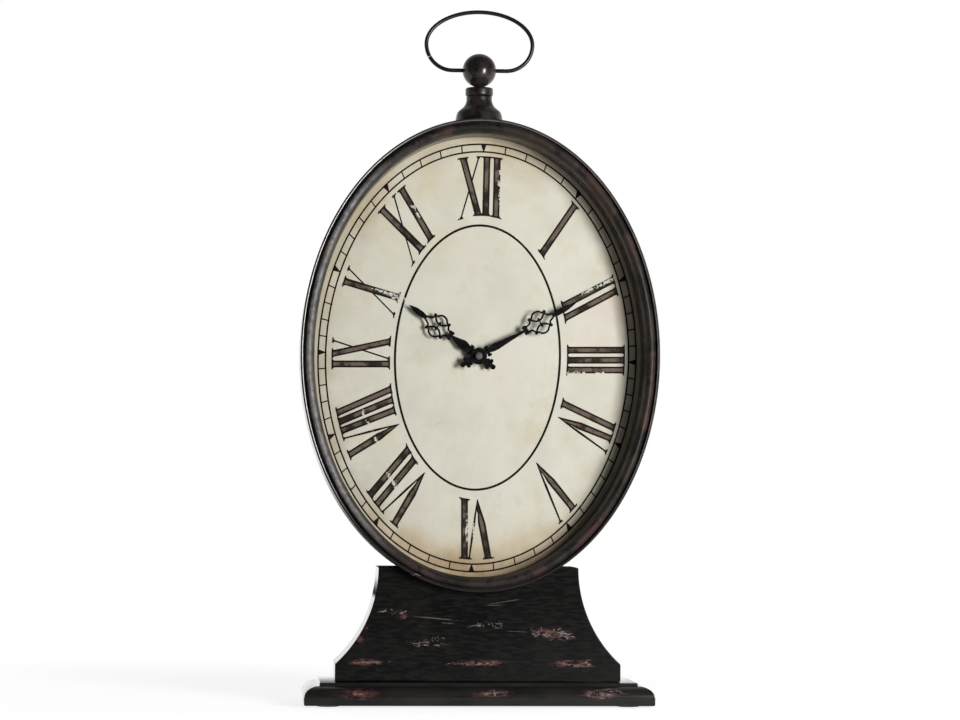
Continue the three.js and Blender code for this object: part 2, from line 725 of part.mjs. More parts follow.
// Movement case. The front shell carries the threaded bushing, the wall above the battery and the posts.
const insideFront = shellFront + shellWall;
const insideBack = insideFront + trainDepth;
const insideHalfWidth = batteryLength / 2 + 2 * seatGap + contactThickness;
const shellHalfWidth = insideHalfWidth + shellWall;
const insideHalfHeight = movementHalfHeight - shellWall;
const batteryHeight = -insideHalfHeight + seatGap + batteryRadius;
const partitionBottom = batteryHeight + batteryRadius + seatGap;
const partitionTop = partitionBottom + shellWall;
const partitionHalfWidth = insideHalfWidth - partitionEndGap;
const storey = (level) => insideFront + firstStorey + storeyRise * level;
const coilBarFront = storey(5) + wheelThickness + pinionOverlap;
const coilBarBack = coilBarFront + coilBarThickness;
const statorFront = coilBarBack + seatGap;
const circuitFront = storey(6);
const coilReach = coilLength / 2 + coilPad;
const circuitRight = insideHalfWidth - contactThickness - 2 * seatGap;
const circuitLeft = circuitRight - boardWidth;
const circuitMiddle = (circuitLeft + circuitRight) / 2;
const post = (x, z, back) =>
  turned(rod(postRadius, insideFront - shellWall / 2, back - seatGap), smallSides).translate(x, 0, z);
const circuitPostLift = boardHeight / 2 - 2 * postRadius;
const frontShell = cut(
  join(
    centredBlock(shellHalfWidth, shellFront, insideBack, -movementHalfHeight, movementHalfHeight),
    turned(rod(bushingRadius, bushingFront, insideFront)),
  ),
  centredBlock(insideHalfWidth, insideFront, insideBack + overrun, -insideHalfHeight, insideHalfHeight),
  turned(rod(hourTubeRadius + shaftGap, bushingFront - overrun, insideFront + overrun)),
);
const shellParts = [
  centredBlock(partitionHalfWidth, insideFront - shellWall / 2, insideBack, partitionBottom, partitionTop),
  post(coilPlace - coilReach + coilPad / 2, coilHeight, coilBarFront),
  post(coilPlace + coilReach - coilPad / 2, coilHeight, coilBarFront),
  post(circuitMiddle, boardLift - circuitPostLift, circuitFront),
  post(circuitMiddle, boardLift + circuitPostLift, circuitFront),
];
addTo(casing, "movement_front_shell", join(frontShell, ...shellParts), blackPlastic);

// Wheels. Each level of teeth stands one storey behind the last, and each phase follows from its mesh.
const pitchRadius = (teeth, module) => (teeth * module) / 2;

function gearShape(teeth, module, phase) {
  const pitch = pitchRadius(teeth, module);
  const root = pitch - dedendumShare * module;
  const tip = pitch + addendumShare * module;
  const step = 360 / teeth;
  const corners = [];
  for (let i = 0; i < teeth; i++) {
    const middle = phase + i * step;
    corners.push(toward(middle - rootToothShare * step, root));
    corners.push(toward(middle - tipToothShare * step, tip));
    corners.push(toward(middle + tipToothShare * step, tip));
    corners.push(toward(middle + rootToothShare * step, root));
  }
  return new THREE.Shape(corners.reverse());
}

// The phase of a gear whose gap takes the first gear's tooth, at a bearing from the first to it.
const meshedPhase = (teeth, phase, bearing, otherTeeth) =>
  bearing + 180 - (180 - teeth * (bearing - phase)) / otherTeeth;

// Where a gear's axis lies, at a bearing from the axis of the gear that it meets.
const meshedAt = (otherAt, bearing, teethOfBoth, module) =>
  toward(bearing, pitchRadius(teethOfBoth, module)).add(otherAt);
const handsAt = point(0, 0);
const intermediateAt = meshedAt(handsAt, intermediateBearing, cannonTeeth + intermediateTeeth, motionModule);
const knobAt = meshedAt(intermediateAt, knobBearing, intermediateTeeth + knobTeeth, motionModule);
const thirdAt = meshedAt(handsAt, thirdBearing, centreTeeth + trainPinionTeeth, centreModule);
const secondsAt = meshedAt(thirdAt, secondsBearing, thirdTeeth + trainPinionTeeth, fineModule);
const stepAt = meshedAt(secondsAt, stepBearing, secondsTeeth + trainPinionTeeth, fineModule);
const rotorAt = meshedAt(stepAt, rotorBearing, stepTeeth + trainPinionTeeth, fineModule);

const intermediatePhase = meshedPhase(cannonTeeth, 0, intermediateBearing, intermediateTeeth);
const hourPinionPhase = 0;
const hourPhase = meshedPhase(hourPinionTeeth, hourPinionPhase, intermediateBearing + 180, hourTeeth);
const knobPhase = meshedPhase(intermediateTeeth, intermediatePhase, knobBearing, knobTeeth);
const thirdPinionPhase = meshedPhase(centreTeeth, 0, thirdBearing, trainPinionTeeth);
const secondsPinionPhase = meshedPhase(thirdTeeth, 0, secondsBearing, trainPinionTeeth);
const stepPinionPhase = meshedPhase(secondsTeeth, 0, stepBearing, trainPinionTeeth);
const rotorPinionPhase = meshedPhase(stepTeeth, 0, rotorBearing, trainPinionTeeth);

const gear = (teeth, module, phase, front, back) => plate(gearShape(teeth, module, phase), front, back);
const wheelAt = (level, teeth, module, phase) =>
  gear(teeth, module, phase, storey(level), storey(level) + wheelThickness);
// A pinion spans the storey of the wheel that it meets and ends in its own wheel, one storey behind.
const pinionAt = (level, teeth, module, phase) =>
  gear(teeth, module, phase, storey(level) - pinionOverlap, storey(level + 1) + wheelThickness / 2);
// The pinions that meet the intermediate wheel stand a little past it, in front and behind.
const widePinion = (teeth, phase) =>
  gear(teeth, motionModule, phase, storey(1) - pinionOverlap, storey(1) + wheelThickness + pinionOverlap);
const pivot = turned(rod(pivotRadius, insideFront + seatGap, insideBack), smallSides);

const tubeFront = bushingFront - hourTubeSpare;
const minuteArborFront = tubeFront - 2 * seatGap - minuteHubRise - handThickness - handNutRise;
const minuteArborBack = storey(2) + wheelThickness + pinionOverlap;
const minuteArbor = join(
  turned(rod(arborRadius, minuteArborFront, minuteArborBack), turnedSides),
  widePinion(cannonTeeth, 0),
);
const hourWheel = cut(
  join(
    wheelAt(0, hourTeeth, motionModule, hourPhase),
    turned(rod(hourTubeRadius, tubeFront, storey(0) + wheelThickness / 2), turnedSides),
  ),
  turned(rod(arborRadius + shaftGap, tubeFront - overrun, storey(1)), turnedSides),
);
const intermediateWheel = join(
  wheelAt(1, intermediateTeeth, motionModule, intermediatePhase),
  pinionAt(0, hourPinionTeeth, motionModule, hourPinionPhase),
  pivot,
);
const centreWheel = cut(
  wheelAt(2, centreTeeth, centreModule, 0),
  turned(rod(arborRadius + shaftGap, storey(2) - overrun, storey(3)), turnedSides),
);
const trainWheel = (level, teeth, module, pinionPhase) =>
  join(
    wheelAt(level, teeth, fineModule, 0),
    pinionAt(level - 1, trainPinionTeeth, module, pinionPhase),
    pivot,
  );
addTo(casing, "minute_arbor", minuteArbor, brass);
addTo(casing, "hour_wheel", hourWheel, whitePlastic);
addTo(casing, "centre_wheel", centreWheel, whitePlastic);
function addWheel(name, geometry, at, material = whitePlastic) {
  addTo(casing, name, geometry, material).position.set(at.x, 0, at.y);
}
addWheel("intermediate_wheel", intermediateWheel, intermediateAt);
addWheel("third_wheel", trainWheel(3, thirdTeeth, centreModule, thirdPinionPhase), thirdAt);
addWheel("seconds_wheel", trainWheel(4, secondsTeeth, fineModule, secondsPinionPhase), secondsAt);
addWheel("step_wheel", trainWheel(5, stepTeeth, fineModule, stepPinionPhase), stepAt);

// Motor: the rotor's magnet turns in the stator, which lies on the coil's iron bar.
const magnetFront = storey(6);
const rotor = join(
  turned(rod(magnetRadius, magnetFront, magnetFront + magnetRise)),
  pinionAt(5, trainPinionTeeth, fineModule, rotorPinionPhase),
  turned(rod(pivotRadius, storey(5) - pinionOverlap, magnetFront + wheelThickness), smallSides),
  pivot,
);
addWheel("rotor", rotor, rotorAt, magnetGrey);
const statorBack = statorFront + statorThickness;
const statorHole = magnetRadius + statorGap;
const statorOuter = statorHole + statorRim;
const statorLeft = coilPlace - coilReach;
const statorRight = coilPlace + coilReach;
const coilPadBottom = coilHeight - coilBar / 2;
const coilPadTop = coilHeight + coilBar / 2;
const statorPlate = (left, right, bottom, top) => block(left, right, statorFront, statorBack, bottom, top);
const lowBarTop = rotorAt.y + statorOuter - seatGap;
const stator = cut(
  join(
    plate(circle(statorOuter, rotorAt), statorFront, statorBack),
    statorPlate(statorLeft, rotorAt.x, rotorAt.y - statorBar / 2, rotorAt.y + statorBar / 2),
    statorPlate(statorLeft, statorLeft + coilPad, rotorAt.y - statorBar / 2, coilPadTop),
    statorPlate(rotorAt.x, statorRight, lowBarTop - statorBar, lowBarTop),
    statorPlate(statorRight - coilPad, statorRight, lowBarTop - statorBar, coilPadTop),
  ),
  plate(circle(statorHole, rotorAt), statorFront - overrun, statorBack + overrun),
);
addTo(casing, "stator", stator, steel);
const coilMiddle = (coilBarFront + coilBarBack) / 2;
const winding = turned(rod(coilRadius, -coilLength / 2, coilLength / 2), smallSides)
  .rotateZ(Math.PI / 2)
  .translate(coilPlace, coilMiddle, coilHeight);
const coilIron = block(statorLeft, statorRight, coilBarFront, coilBarBack, coilPadBottom, coilPadTop);
addTo(casing, "coil", join(winding, coilIron), copper);

// Circuit board on its two posts, with the crystal's can lying on it.
const circuitBack = circuitFront + circuitThickness;
const circuit = block(
  circuitLeft,
  circuitRight,
  circuitFront,
  circuitBack,
  boardLift - boardHeight / 2,
  boardLift + boardHeight / 2,
);
addTo(casing, "circuit_board", circuit, circuitGreen);
const crystal = turnedUpright(rod(crystalRadius, -crystalLength / 2, crystalLength / 2), smallSides);
addTo(casing, "quartz_crystal", crystal, steel)
  .position.set(circuitMiddle, circuitBack + seatGap + crystalRadius, boardLift);

// Battery, lying across the foot of the movement, and the two leaf contacts at its ends.
const batteryY = insideFront + seatGap + batteryRadius;
const cellEnd = batteryLength / 2;
const cell = turned(
  [
    [0, -cellEnd],
    [batteryRadius, -cellEnd],
    [batteryRadius, cellEnd - batteryNubLength],
    [batteryNubRadius, cellEnd - batteryNubLength],
    [batteryNubRadius, cellEnd],
    [0, cellEnd],
  ],
  turnedSides,
).rotateZ(-Math.PI / 2);
addTo(casing, "battery", cell, cellBlue).position.set(0, batteryY, batteryHeight);
const contactOuter = insideHalfWidth - seatGap;
const contactInner = contactOuter - contactThickness;
const stripBack = circuitBack;
const leafBottom = batteryHeight - contactHalfHeight;
const leafTop = batteryHeight + contactHalfHeight;
for (const [name, sign] of [["battery_contact_positive", 1], ["battery_contact_negative", -1]]) {
  const [left, right] = sign > 0 ? [contactInner, contactOuter] : [-contactOuter, -contactInner];
  const leaf = join(
    block(left, right, batteryY - contactHalfHeight, stripBack, leafBottom, leafTop),
    block(left, right, stripBack - contactStripWidth, stripBack, batteryHeight, leafTop + contactStripRise),
  );
  addTo(casing, name, leaf, steel);
}

// Rear cover over the wheels, and the setting knob that turns the intermediate wheel through it.
const coverFront = insideBack + seatGap;
const coverBack = coverFront + shellWall;
const knobHole = turned(rod(knobPivotRadius + shaftGap, coverFront - overrun, coverBack + overrun));
knobHole.translate(knobAt.x, 0, knobAt.y);
const cover = centredBlock(shellHalfWidth, coverFront, coverBack, partitionBottom, movementHalfHeight);
addTo(casing, "movement_rear_cover", cut(cover, knobHole), blackPlastic);
const knobFront = coverBack + seatGap;
const knob = join(
  widePinion(knobTeeth, knobPhase),
  turned(rod(knobPivotRadius, storey(1), knobFront + knobRise / 2)),
  turned(rod(pivotRadius, insideFront + seatGap, storey(1) + wheelThickness), smallSides),
  turned(rod(knobRadius, knobFront, knobFront + knobRise)),
);
addWheel("setting_knob", knob, knobAt);

// Hands. Each outline is drawn pointing to twelve: down the right side from the tip, and mirrored.
function handShape(length, collarAt, piercedAt, bladeHalf) {
  const side = new THREE.Path();
  const cornerLow = piercedAt - piercedCornerAlong;
  const cornerHigh = piercedAt + piercedCornerAlong;
  const leafFoot = piercedAt + 2 * piercedCornerAlong;
  const leafBelly = leafFoot + (length - leafFoot) / 3;
  const loopOut = loopAcross + loopRadius;
  const collarEnd = collarAt + collarLength;
  const bladeFoot = handHubRadius + collarLength;
  side.moveTo(0, length);
  side.quadraticCurveTo(leafHalf, (length + leafBelly) / 2, leafHalf, leafBelly);
  side.quadraticCurveTo(leafHalf, leafFoot, handStemHalf, leafFoot);
  side.quadraticCurveTo(handStemHalf, cornerHigh, piercedCornerAcross, cornerHigh + piercedWire / 2);
  side.quadraticCurveTo(loopOut, cornerHigh - piercedWire, loopOut, piercedAt);
  side.quadraticCurveTo(loopOut, cornerLow + piercedWire, piercedCornerAcross, cornerLow - piercedWire / 2);
  side.quadraticCurveTo(handStemHalf + piercedWire, cornerLow, handStemHalf, collarEnd);
  side.lineTo(collarHalfWidth, collarEnd);
  side.lineTo(collarHalfWidth, collarAt);
  side.lineTo(handStemHalf, collarAt);
  side.quadraticCurveTo(bladeHalf, (bladeFoot + collarAt) / 2, bladeHalf, bladeFoot + collarLength);
  side.lineTo(handStemHalf, bladeFoot);
  side.lineTo(notchHalf, bladeFoot);
  side.lineTo(notchHalf, handHubRadius - collarLength);
  side.lineTo(tailBarHalf, -handHubRadius + collarLength);
  side.lineTo(tailHalf, -handHubRadius);
  side.lineTo(tailHalf, -tailBarAt);
  side.lineTo(tailBarHalf, -tailBarAt);
  side.lineTo(tailBarHalf, -tailBarAt - tailBarLength);
  side.lineTo(tailHalf, -tailBarAt - tailBarLength);
  side.lineTo(tailHalf, -tailLength);
  const right = side.getPoints(arcSteps);
  const left = right.slice(1).map((p) => point(-p.x, p.y)).reverse();
  return new THREE.Shape([...right, ...left]);
}

function piercing(piercedAt, collarAt) {
  const loopInner = loopRadius - piercedWire;
  const cornerX = piercedCornerAcross - piercedWire;
  const cornerY = piercedCornerAlong - piercedWire;
  const star = (sign, far) => {
    const path = new THREE.Path();
    const near = piercedAt + sign * piercedWire;
    const corner = piercedAt + sign * cornerY;
    path.moveTo(0, far);
    path.quadraticCurveTo(piercedWire, corner, cornerX, corner);
    path.quadraticCurveTo(piercedWire, corner, 0, near);
    path.quadraticCurveTo(-piercedWire, corner, -cornerX, corner);
    path.quadraticCurveTo(-piercedWire, corner, 0, far);
    return path;
  };
  const rounds = [1, -1].map((sign) => circle(loopInner, point(sign * loopAcross, piercedAt)));
  return [star(1, piercedAt + 2 * cornerY), star(-1, collarAt + collarLength + piercedWire / 2), ...rounds];
}

function hand(length, collarAt, piercedAt, bladeHalf, front, boreRadius, hubRadius, hubRise) {
  const back = front + handThickness;
  const outline = plate(handShape(length, collarAt, piercedAt, bladeHalf), front, back);
  const hub = turned(rod(handHubRadius, front, back));
  const knob = turned(rod(tailKnobRadius, front, back), smallSides).translate(0, 0, -tailLength);
  const collet = turned(rod(hubRadius, back - handThickness / 2, back + hubRise));
  const holes = piercing(piercedAt, collarAt).map((path) =>
    plate(new THREE.Shape(path.getPoints(arcSteps)), front - overrun, back + overrun));
  const bore = turned(rod(boreRadius, front - overrun, back + hubRise + overrun));
  return cut(join(outline, hub, knob, collet), ...holes, bore);
}

const hourHandBack = bushingFront - seatGap - hourHubRise;
const hourHandFront = hourHandBack - handThickness;
const minuteHandBack = tubeFront - seatGap - minuteHubRise;
const minuteHandFront = minuteHandBack - handThickness;
const hourHand = hand(
  hourHandLength,
  hourCollarAt,
  hourPiercedAt,
  hourBladeHalf,
  hourHandFront,
  hourTubeRadius + shaftGap,
  hourHubRadius,
  hourHubRise,
);
const minuteHand = hand(
  minuteHandLength,
  minuteCollarAt,
  minutePiercedAt,
  minuteBladeHalf,
  minuteHandFront,
  arborRadius + shaftGap,
  minuteHubRadius,
  minuteHubRise,
);
addTo(casing, "hour_hand", hourHand, handBlack).rotation.y = radians(hourHandBearing);
addTo(casing, "minute_hand", minuteHand, handBlack).rotation.y = radians(minuteHandBearing);

// Cap nut that holds the minute hand on its arbor.
const handNutBack = minuteHandFront - seatGap;
const handNutFront = minuteArborFront - seatGap - handNutCover;
const handNutBore = minuteArborFront - seatGap;
const handNut = turned([
  [0, handNutFront],
  [handNutRadius - handNutCover, handNutFront],
  [handNutRadius, handNutFront + handNutCover],
  [handNutRadius, handNutBack],
  [arborRadius + shaftGap, handNutBack],
  [arborRadius + shaftGap, handNutBore],
  [0, handNutBore],
]);
addTo(casing, "hand_nut", handNut, nutGrey);

export default clock;
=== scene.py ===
"""Finish of a table clock: an oval cased dial with a crown and bow, on a coved black pedestal."""
import math

import bmesh
import bpy
from mathutils import Euler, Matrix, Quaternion, Vector
from mathutils.geometry import delaunay_2d_cdt


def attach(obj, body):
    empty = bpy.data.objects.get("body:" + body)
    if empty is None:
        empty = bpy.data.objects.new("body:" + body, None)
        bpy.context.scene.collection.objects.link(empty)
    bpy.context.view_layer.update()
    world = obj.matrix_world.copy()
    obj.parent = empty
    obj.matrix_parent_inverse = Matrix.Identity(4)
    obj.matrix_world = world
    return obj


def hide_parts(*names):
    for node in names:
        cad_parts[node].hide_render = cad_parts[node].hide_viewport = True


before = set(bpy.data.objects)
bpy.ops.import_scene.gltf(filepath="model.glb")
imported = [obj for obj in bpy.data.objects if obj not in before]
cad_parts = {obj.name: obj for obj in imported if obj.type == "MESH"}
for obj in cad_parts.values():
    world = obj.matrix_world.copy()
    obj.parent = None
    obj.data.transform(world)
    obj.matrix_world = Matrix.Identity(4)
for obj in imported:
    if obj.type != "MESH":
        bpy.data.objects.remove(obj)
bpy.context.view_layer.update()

# ---- The place ----
# A pale floor, one soft lamp to the right of the camera, and a dim room with a pale lit wall behind
# the clock. All of it is white to the eye, and the wall is white in what is polished.
mm = 0.001
paper_colour = (0.50, 0.50, 0.50, 1)
paper_reach = 6.0
near_glow = 0.80
far_glow = 0.93
mirrored_front = -0.25
room_light = 0.022
wall_light = 0.42
lamp_power = 30
lamp_size = (0.42, 0.70)
lamp_place = (0.86, -1.42, 0.36)
lamp_aim = Vector((0, 0, 0.33))
eye_place = (-0.2013, -2.8, 0.187)
eye_turn = Euler((math.radians(92.573), 0, math.radians(-4.163)))
eye_roll = Quaternion((0, 0, 1), math.radians(0.33))
eye_lens = 115.04


class Reading:
    """What a node gives. Reckoning with readings adds nodes to their tree."""

    def __init__(self, node, output=0):
        self.socket = node.outputs[output]
        self.tree = node.id_data

    def __add__(self, other):
        return maths("ADD", self, other)

    def __sub__(self, other):
        return maths("SUBTRACT", self, other)

    def __rsub__(self, other):
        return maths("SUBTRACT", other, self)

    def __mul__(self, other):
        return maths("MULTIPLY", self, other)

    def __truediv__(self, other):
        return maths("DIVIDE", self, other)

    def __rtruediv__(self, other):
        return maths("DIVIDE", other, self)

    def __pow__(self, other):
        return maths("POWER", self, other)


def feed(node, sockets):
    """Gives each named input a value or a reading."""
    for name, value in sockets.items():
        if isinstance(value, Reading):
            node.id_data.links.new(value.socket, node.inputs[name])
        else:
            node.inputs[name].default_value = value


def add_node(tree, kind, sockets=None, **settings):
    """Adds one node with its settings, and feeds its inputs."""
    node = tree.nodes.new(kind)
    for name, value in settings.items():
        setattr(node, name, value)
    feed(node, sockets or {})
    return node


def read(tree, kind, sockets=None, output=0, **settings):
    """Adds one node and reads one of its outputs."""
    return Reading(add_node(tree, kind, sockets, **settings), output)


def maths(operation, first, second=0.0, clamp=False):
    tree = (first if isinstance(first, Reading) else second).tree
    return read(tree, "ShaderNodeMath", {0: first, 1: second}, operation=operation,
                use_clamp=clamp)


def larger(first, second):
    return maths("MAXIMUM", first, second)


def fade(value, low, high, unit=1):
    """0 below the low value and 1 above the high one, both counted in a unit."""
    return read(value.tree, "ShaderNodeMapRange", {"Value": value, "From Min": low * unit,
                "From Max": high * unit}, interpolation_type="SMOOTHSTEP")


def xyz(vector):
    """The three parts of a vector."""
    parts = add_node(vector.tree, "ShaderNodeSeparateXYZ", {"Vector": vector})
    return [Reading(parts, i) for i in range(3)]


def seen_share(tree):
    """Two readings: 1 for the camera, and 1 for what is mirrored or seen through glass."""
    path = add_node(tree, "ShaderNodeLightPath")
    return (Reading(path, "Is Camera Ray"),
            Reading(path, "Is Glossy Ray") + Reading(path, "Is Transmission Ray"))


def new_finish(name):
    """A material, its bare shader, and where a point lies on its own piece, in metres."""
    finish = bpy.data.materials.new(name)
    finish.use_nodes = True
    shader = finish.node_tree.nodes["Principled BSDF"]
    return finish, shader, read(finish.node_tree, "ShaderNodeTexCoord", output="Object")


def new_mesh(name, points, edges=(), faces=()):
    mesh = bpy.data.meshes.new(name)
    mesh.from_pydata([tuple(point) for point in points], edges, faces)
    return mesh


def new_object(name, data):
    thing = bpy.data.objects.new(name, data)
    bpy.context.scene.collection.objects.link(thing)
    return thing


def floor_finish():
    """Pale paper that takes shadows. It glows a little for the camera and for what mirrors it, less
    near the object, so that its shadow stays. In mirrors it glows only behind its front end."""
    finish, shader, place = new_finish("floor_paper")
    eye_ray, mirror_ray = seen_share(place.tree)
    away = read(place.tree, "ShaderNodeVectorMath", {0: place}, "Value", operation="LENGTH")
    strength = fade(away, 0.25, 1.2) * (far_glow - near_glow) + near_glow
    mirrored = mirror_ray * fade(xyz(place)[1], mirrored_front - 0.2, mirrored_front)
    feed(shader, {"Base Color": paper_colour, "Roughness": 0.9, "Emission Color": (1, 1, 1, 1),
         "Emission Strength": maths("ADD", eye_ray, mirrored, True) * strength})
    return finish


floor_mesh = new_mesh("floor", [(x * paper_reach, y * paper_reach, 0) for x, y in
                                ((-1, -1), (1, -1), (1, 1), (-1, 1))], faces=[(0, 1, 2, 3)])
floor_mesh.materials.append(floor_finish())
floor = new_object("floor", floor_mesh)

lamp_data = bpy.data.lights.new("soft_lamp", "AREA")
lamp_data.shape = "RECTANGLE"
lamp_data.size, lamp_data.size_y = lamp_size
lamp_data.energy = lamp_power
lamp = new_object("soft_lamp", lamp_data)
lamp.location = lamp_place
lamp.rotation_euler = (lamp_aim - Vector(lamp_place)).to_track_quat("-Z", "Y").to_euler()

room = bpy.data.worlds.new("room")
room.use_nodes = True
sky = room.node_tree
eye_ray, mirror_ray = seen_share(sky)
_, toward, above = xyz(read(sky, "ShaderNodeTexCoord", output="Generated"))
mirrored = mirror_ray * fade(toward, -0.15, 0.25) * fade(above, 0.50, 0.15)
white_share = maths("ADD", eye_ray, mirrored, True)
lit = fade(toward, -0.05, 0.5) * (wall_light - room_light) + room_light
feed(sky.nodes["Background"], {"Color": (1, 1, 1, 1), "Strength": lit + white_share * (1.0 - lit)})
bpy.context.scene.world = room
bpy.context.scene.view_settings.view_transform = "Standard"

eye_data = bpy.data.cameras.new("eye")
eye_data.lens = eye_lens
eye = new_object("eye", eye_data)
eye.location = eye_place
eye.rotation_euler = (eye_turn.to_quaternion() @ eye_roll).to_euler()
bpy.context.scene.camera = eye

# ---- Felt feet ----
# Four round pads cut from dark pressed felt, glued under the plinth's corners so that the wood
# doesn't mark the shelf.
foot_radius = 10
foot_thickness = 1.2
foot_across = 135
foot_depth = 41.5
foot_ease = 0.3
foot_sides = 40
piece_weld = 0.00001


def patches(place, scale, low, high, detail=4, roughness=0.55, offset=(0, 0, 0)):
    """A soft-edged pattern of blotches, 0 to 1: noise of a scale, kept between two levels."""
    shifted = read(place.tree, "ShaderNodeMapping", {"Vector": place, "Location": offset})
    return fade(read(place.tree, "ShaderNodeTexNoise", {"Vector": shifted, "Scale": scale,
                     "Detail": detail, "Roughness": roughness}), low, high)


def mix(share, first, second):
    """The first colour where share is 0, the second where it is 1."""
    first, second = (tone if isinstance(tone, Reading) else (*tone, 1) for tone in (first, second))
    return read(share.tree, "ShaderNodeMixRGB", {"Fac": share, "Color1": first, "Color2": second})


def layers(colour, *coats):
    """A colour with others laid over it, each given as its share and its colour."""
    for share, tone in coats:
        colour = mix(share, colour, tone)
    return colour


def roughen(shader, height, depth, strength=1.0):
    """Raises and sinks the surface by a pattern, its depth in mm."""
    feed(shader, {"Normal": read(shader.id_data, "ShaderNodeBump", {
        "Height": height, "Distance": depth * mm, "Strength": strength})})


def felt_finish():
    finish, shader, place = new_finish("pressed_felt")
    hairs = patches(place, 2600, 0.3, 0.7)
    feed(shader, {"Base Color": mix(hairs, (0.018, 0.017, 0.015), (0.045, 0.043, 0.038)),
         "Roughness": 1.0, "Sheen Weight": 0.4})
    roughen(shader, hairs, 0.25)
    return finish


def to_piece(name, mesh, finish, smooth, weld):
    """Welds a mesh, turns it outwards, shades it round and puts it in the scene as a piece."""
    work = bmesh.new()
    work.from_mesh(mesh)
    bmesh.ops.remove_doubles(work, verts=work.verts, dist=weld)
    bmesh.ops.recalc_face_normals(work, faces=work.faces)
    work.to_mesh(mesh)
    work.free()
    mesh.name = name
    mesh.materials.clear()
    mesh.materials.append(finish)
    mesh.shade_smooth()
    mesh.set_sharp_from_angle(angle=math.radians(smooth))
    return new_object(name, mesh)


def make_piece(name, points, faces, finish, smooth=35, weld=piece_weld):
    """A piece from points and faces in metres."""
    return to_piece(name, new_mesh(name, points, faces=faces), finish, smooth, weld)


def turn_profile(profile, sides, centre=(0, 0, 0), axis="z"):
    """Points and faces of a turned shape. The profile is (radius, height) pairs in mm."""
    points, faces = [], []
    for side in range(sides):
        angle = 2 * math.pi * side / sides
        for radius, height in profile:
            across = (radius * math.cos(angle), radius * math.sin(angle))
            local = {"z": (across[0], across[1], height),
                     "y": (across[0], height, -across[1]),
                     "x": (height, across[0], across[1])}[axis]
            points.append(tuple((a + b) * mm for a, b in zip(local, centre)))
    count = len(profile)
    for side in range(sides):
        near, far = side * count, (side + 1) % sides * count
        for i in range(count - 1):
            faces.append((near + i, far + i, far + i + 1, near + i + 1))
    return points, faces


def gather(shapes):
    """Several sets of points and faces as one set."""
    points, faces = [], []
    for more_points, more_faces in shapes:
        start = len(points)
        points += more_points
        faces += [tuple(i + start for i in face) for face in more_faces]
    return points, faces


def rounded(profile, radius, steps=3):
    """A list of (x, y) corners with each inner corner rounded by arcs of about the radius."""
    result = [profile[0]]
    for before, corner, after in zip(profile, profile[1:], profile[2:]):
        b, c, a = Vector(before), Vector(corner), Vector(after)
        reach = min(radius, (b - c).length * 0.45, (a - c).length * 0.45)
        start, end = c + (b - c).normalized() * reach, c + (a - c).normalized() * reach
        for step in range(steps + 1):
            share = step / steps
            result.append(tuple((1 - share) ** 2 * start + 2 * share * (1 - share) * c
                                + share ** 2 * end))
    return [*result, profile[-1]]


foot_profile = rounded([(0, 0), (foot_radius, 0), (foot_radius, foot_thickness),
                        (0, foot_thickness)], foot_ease)
feet = make_piece("felt_feet", *gather(turn_profile(foot_profile, foot_sides, (x, y, 0))
                                       for x in (-foot_across, foot_across)
                                       for y in (-foot_depth, foot_depth)), felt_finish())
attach(feet, "clock")
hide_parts(*[f"felt_foot_{i}" for i in range(1, 5)])

# ---- Plinth ----
# One board of wood, with an ovolo and a small fillet worked along its upper edges, mitred at the
# corners by the cutter, and painted black.
plinth_half = (157 * mm, 63.5 * mm)
plinth_levels = [(1.5, 0), (9.6, 0), (18.7, 14), (21.3, 14)]
plinth_corner = 0.7 * mm
round_foot = 1.6
round_steps = 6
ovolo_quirk = 0.45
ovolo_steps = 14

# Places rubbed or scratched: across, height, half length, half height in mm, and tilt in degrees.
rubbed_red = [(-102.2, 38.9, 18, 3.6, 1), (1.7, 38.3, 29, 3.2, 0), (88, 37.6, 26, 4.2, 0),
              (-80.1, 39.4, 1.5, 0.8, 0), (64, 65.2, 15, 4.6, -8), (-68, 80, 6, 3, 15),
              (-106.8, 59.5, 3.4, 4.4, 40), (-101.4, 69.8, 1.8, 3, 40), (-108.5, 12.0, 22, 5.4, 0),
              (10.4, 12.4, 20, 4.6, 0), (108.5, 12.2, 21, 4.8, 0), (132.2, 12.6, 1.6, 1, 0)]
scratched = [(-72.6, 83.6, 20, 2.8, 0), (-51.7, 72.1, 4, 1.4, 0), (-44.5, 56.8, 18.5, 4.6, 4),
             (11.6, 72.8, 17, 3.4, -4), (66, 65, 23, 5.8, -5), (3, 37.8, 30, 1.5, 0),
             (90, 38.2, 26, 3.4, 0), (-101, 38.6, 14, 1.3, 0), (-108, 12.2, 8, 1.6, 0),
             (14, 13, 15, 2.2, 0), (108, 13, 20, 4, 0)]
long_cuts = [(-39, 78.4, 19, 0.5, -5), (-27, 73.9, 7.5, 0.45, -4), (-5.5, 71.6, 7, 0.45, 12),
             (37, 66.6, 12, 0.4, -3), (25, 93.8, 17, 0.3, 9), (14, 90.2, 7, 0.25, 2),
             (80, 62.6, 10, 0.4, -7)]


def stretched(place, scale):
    return read(place.tree, "ShaderNodeMapping", {"Vector": place, "Scale": scale})


def inside_marks(place, ragged, marks):
    """1 inside any of the marks, fading over their ragged edges."""
    across, _, up = xyz(place)
    flat = read(place.tree, "ShaderNodeCombineXYZ", {"X": across, "Z": up})
    share = 0.0
    for across, height, half_length, half_height, tilt in marks:
        local = read(place.tree, "ShaderNodeMapping", {
            "Vector": flat, "Location": (across * mm, 0, height * mm),
            "Rotation": (0, math.radians(-tilt), 0),
            "Scale": (half_length * mm, mm, half_height * mm)}, vector_type="TEXTURE")
        away = read(place.tree, "ShaderNodeVectorMath", {0: local}, "Value", operation="LENGTH")
        share = larger(share, fade(away + ragged, 1.0, 0.55))
    return share


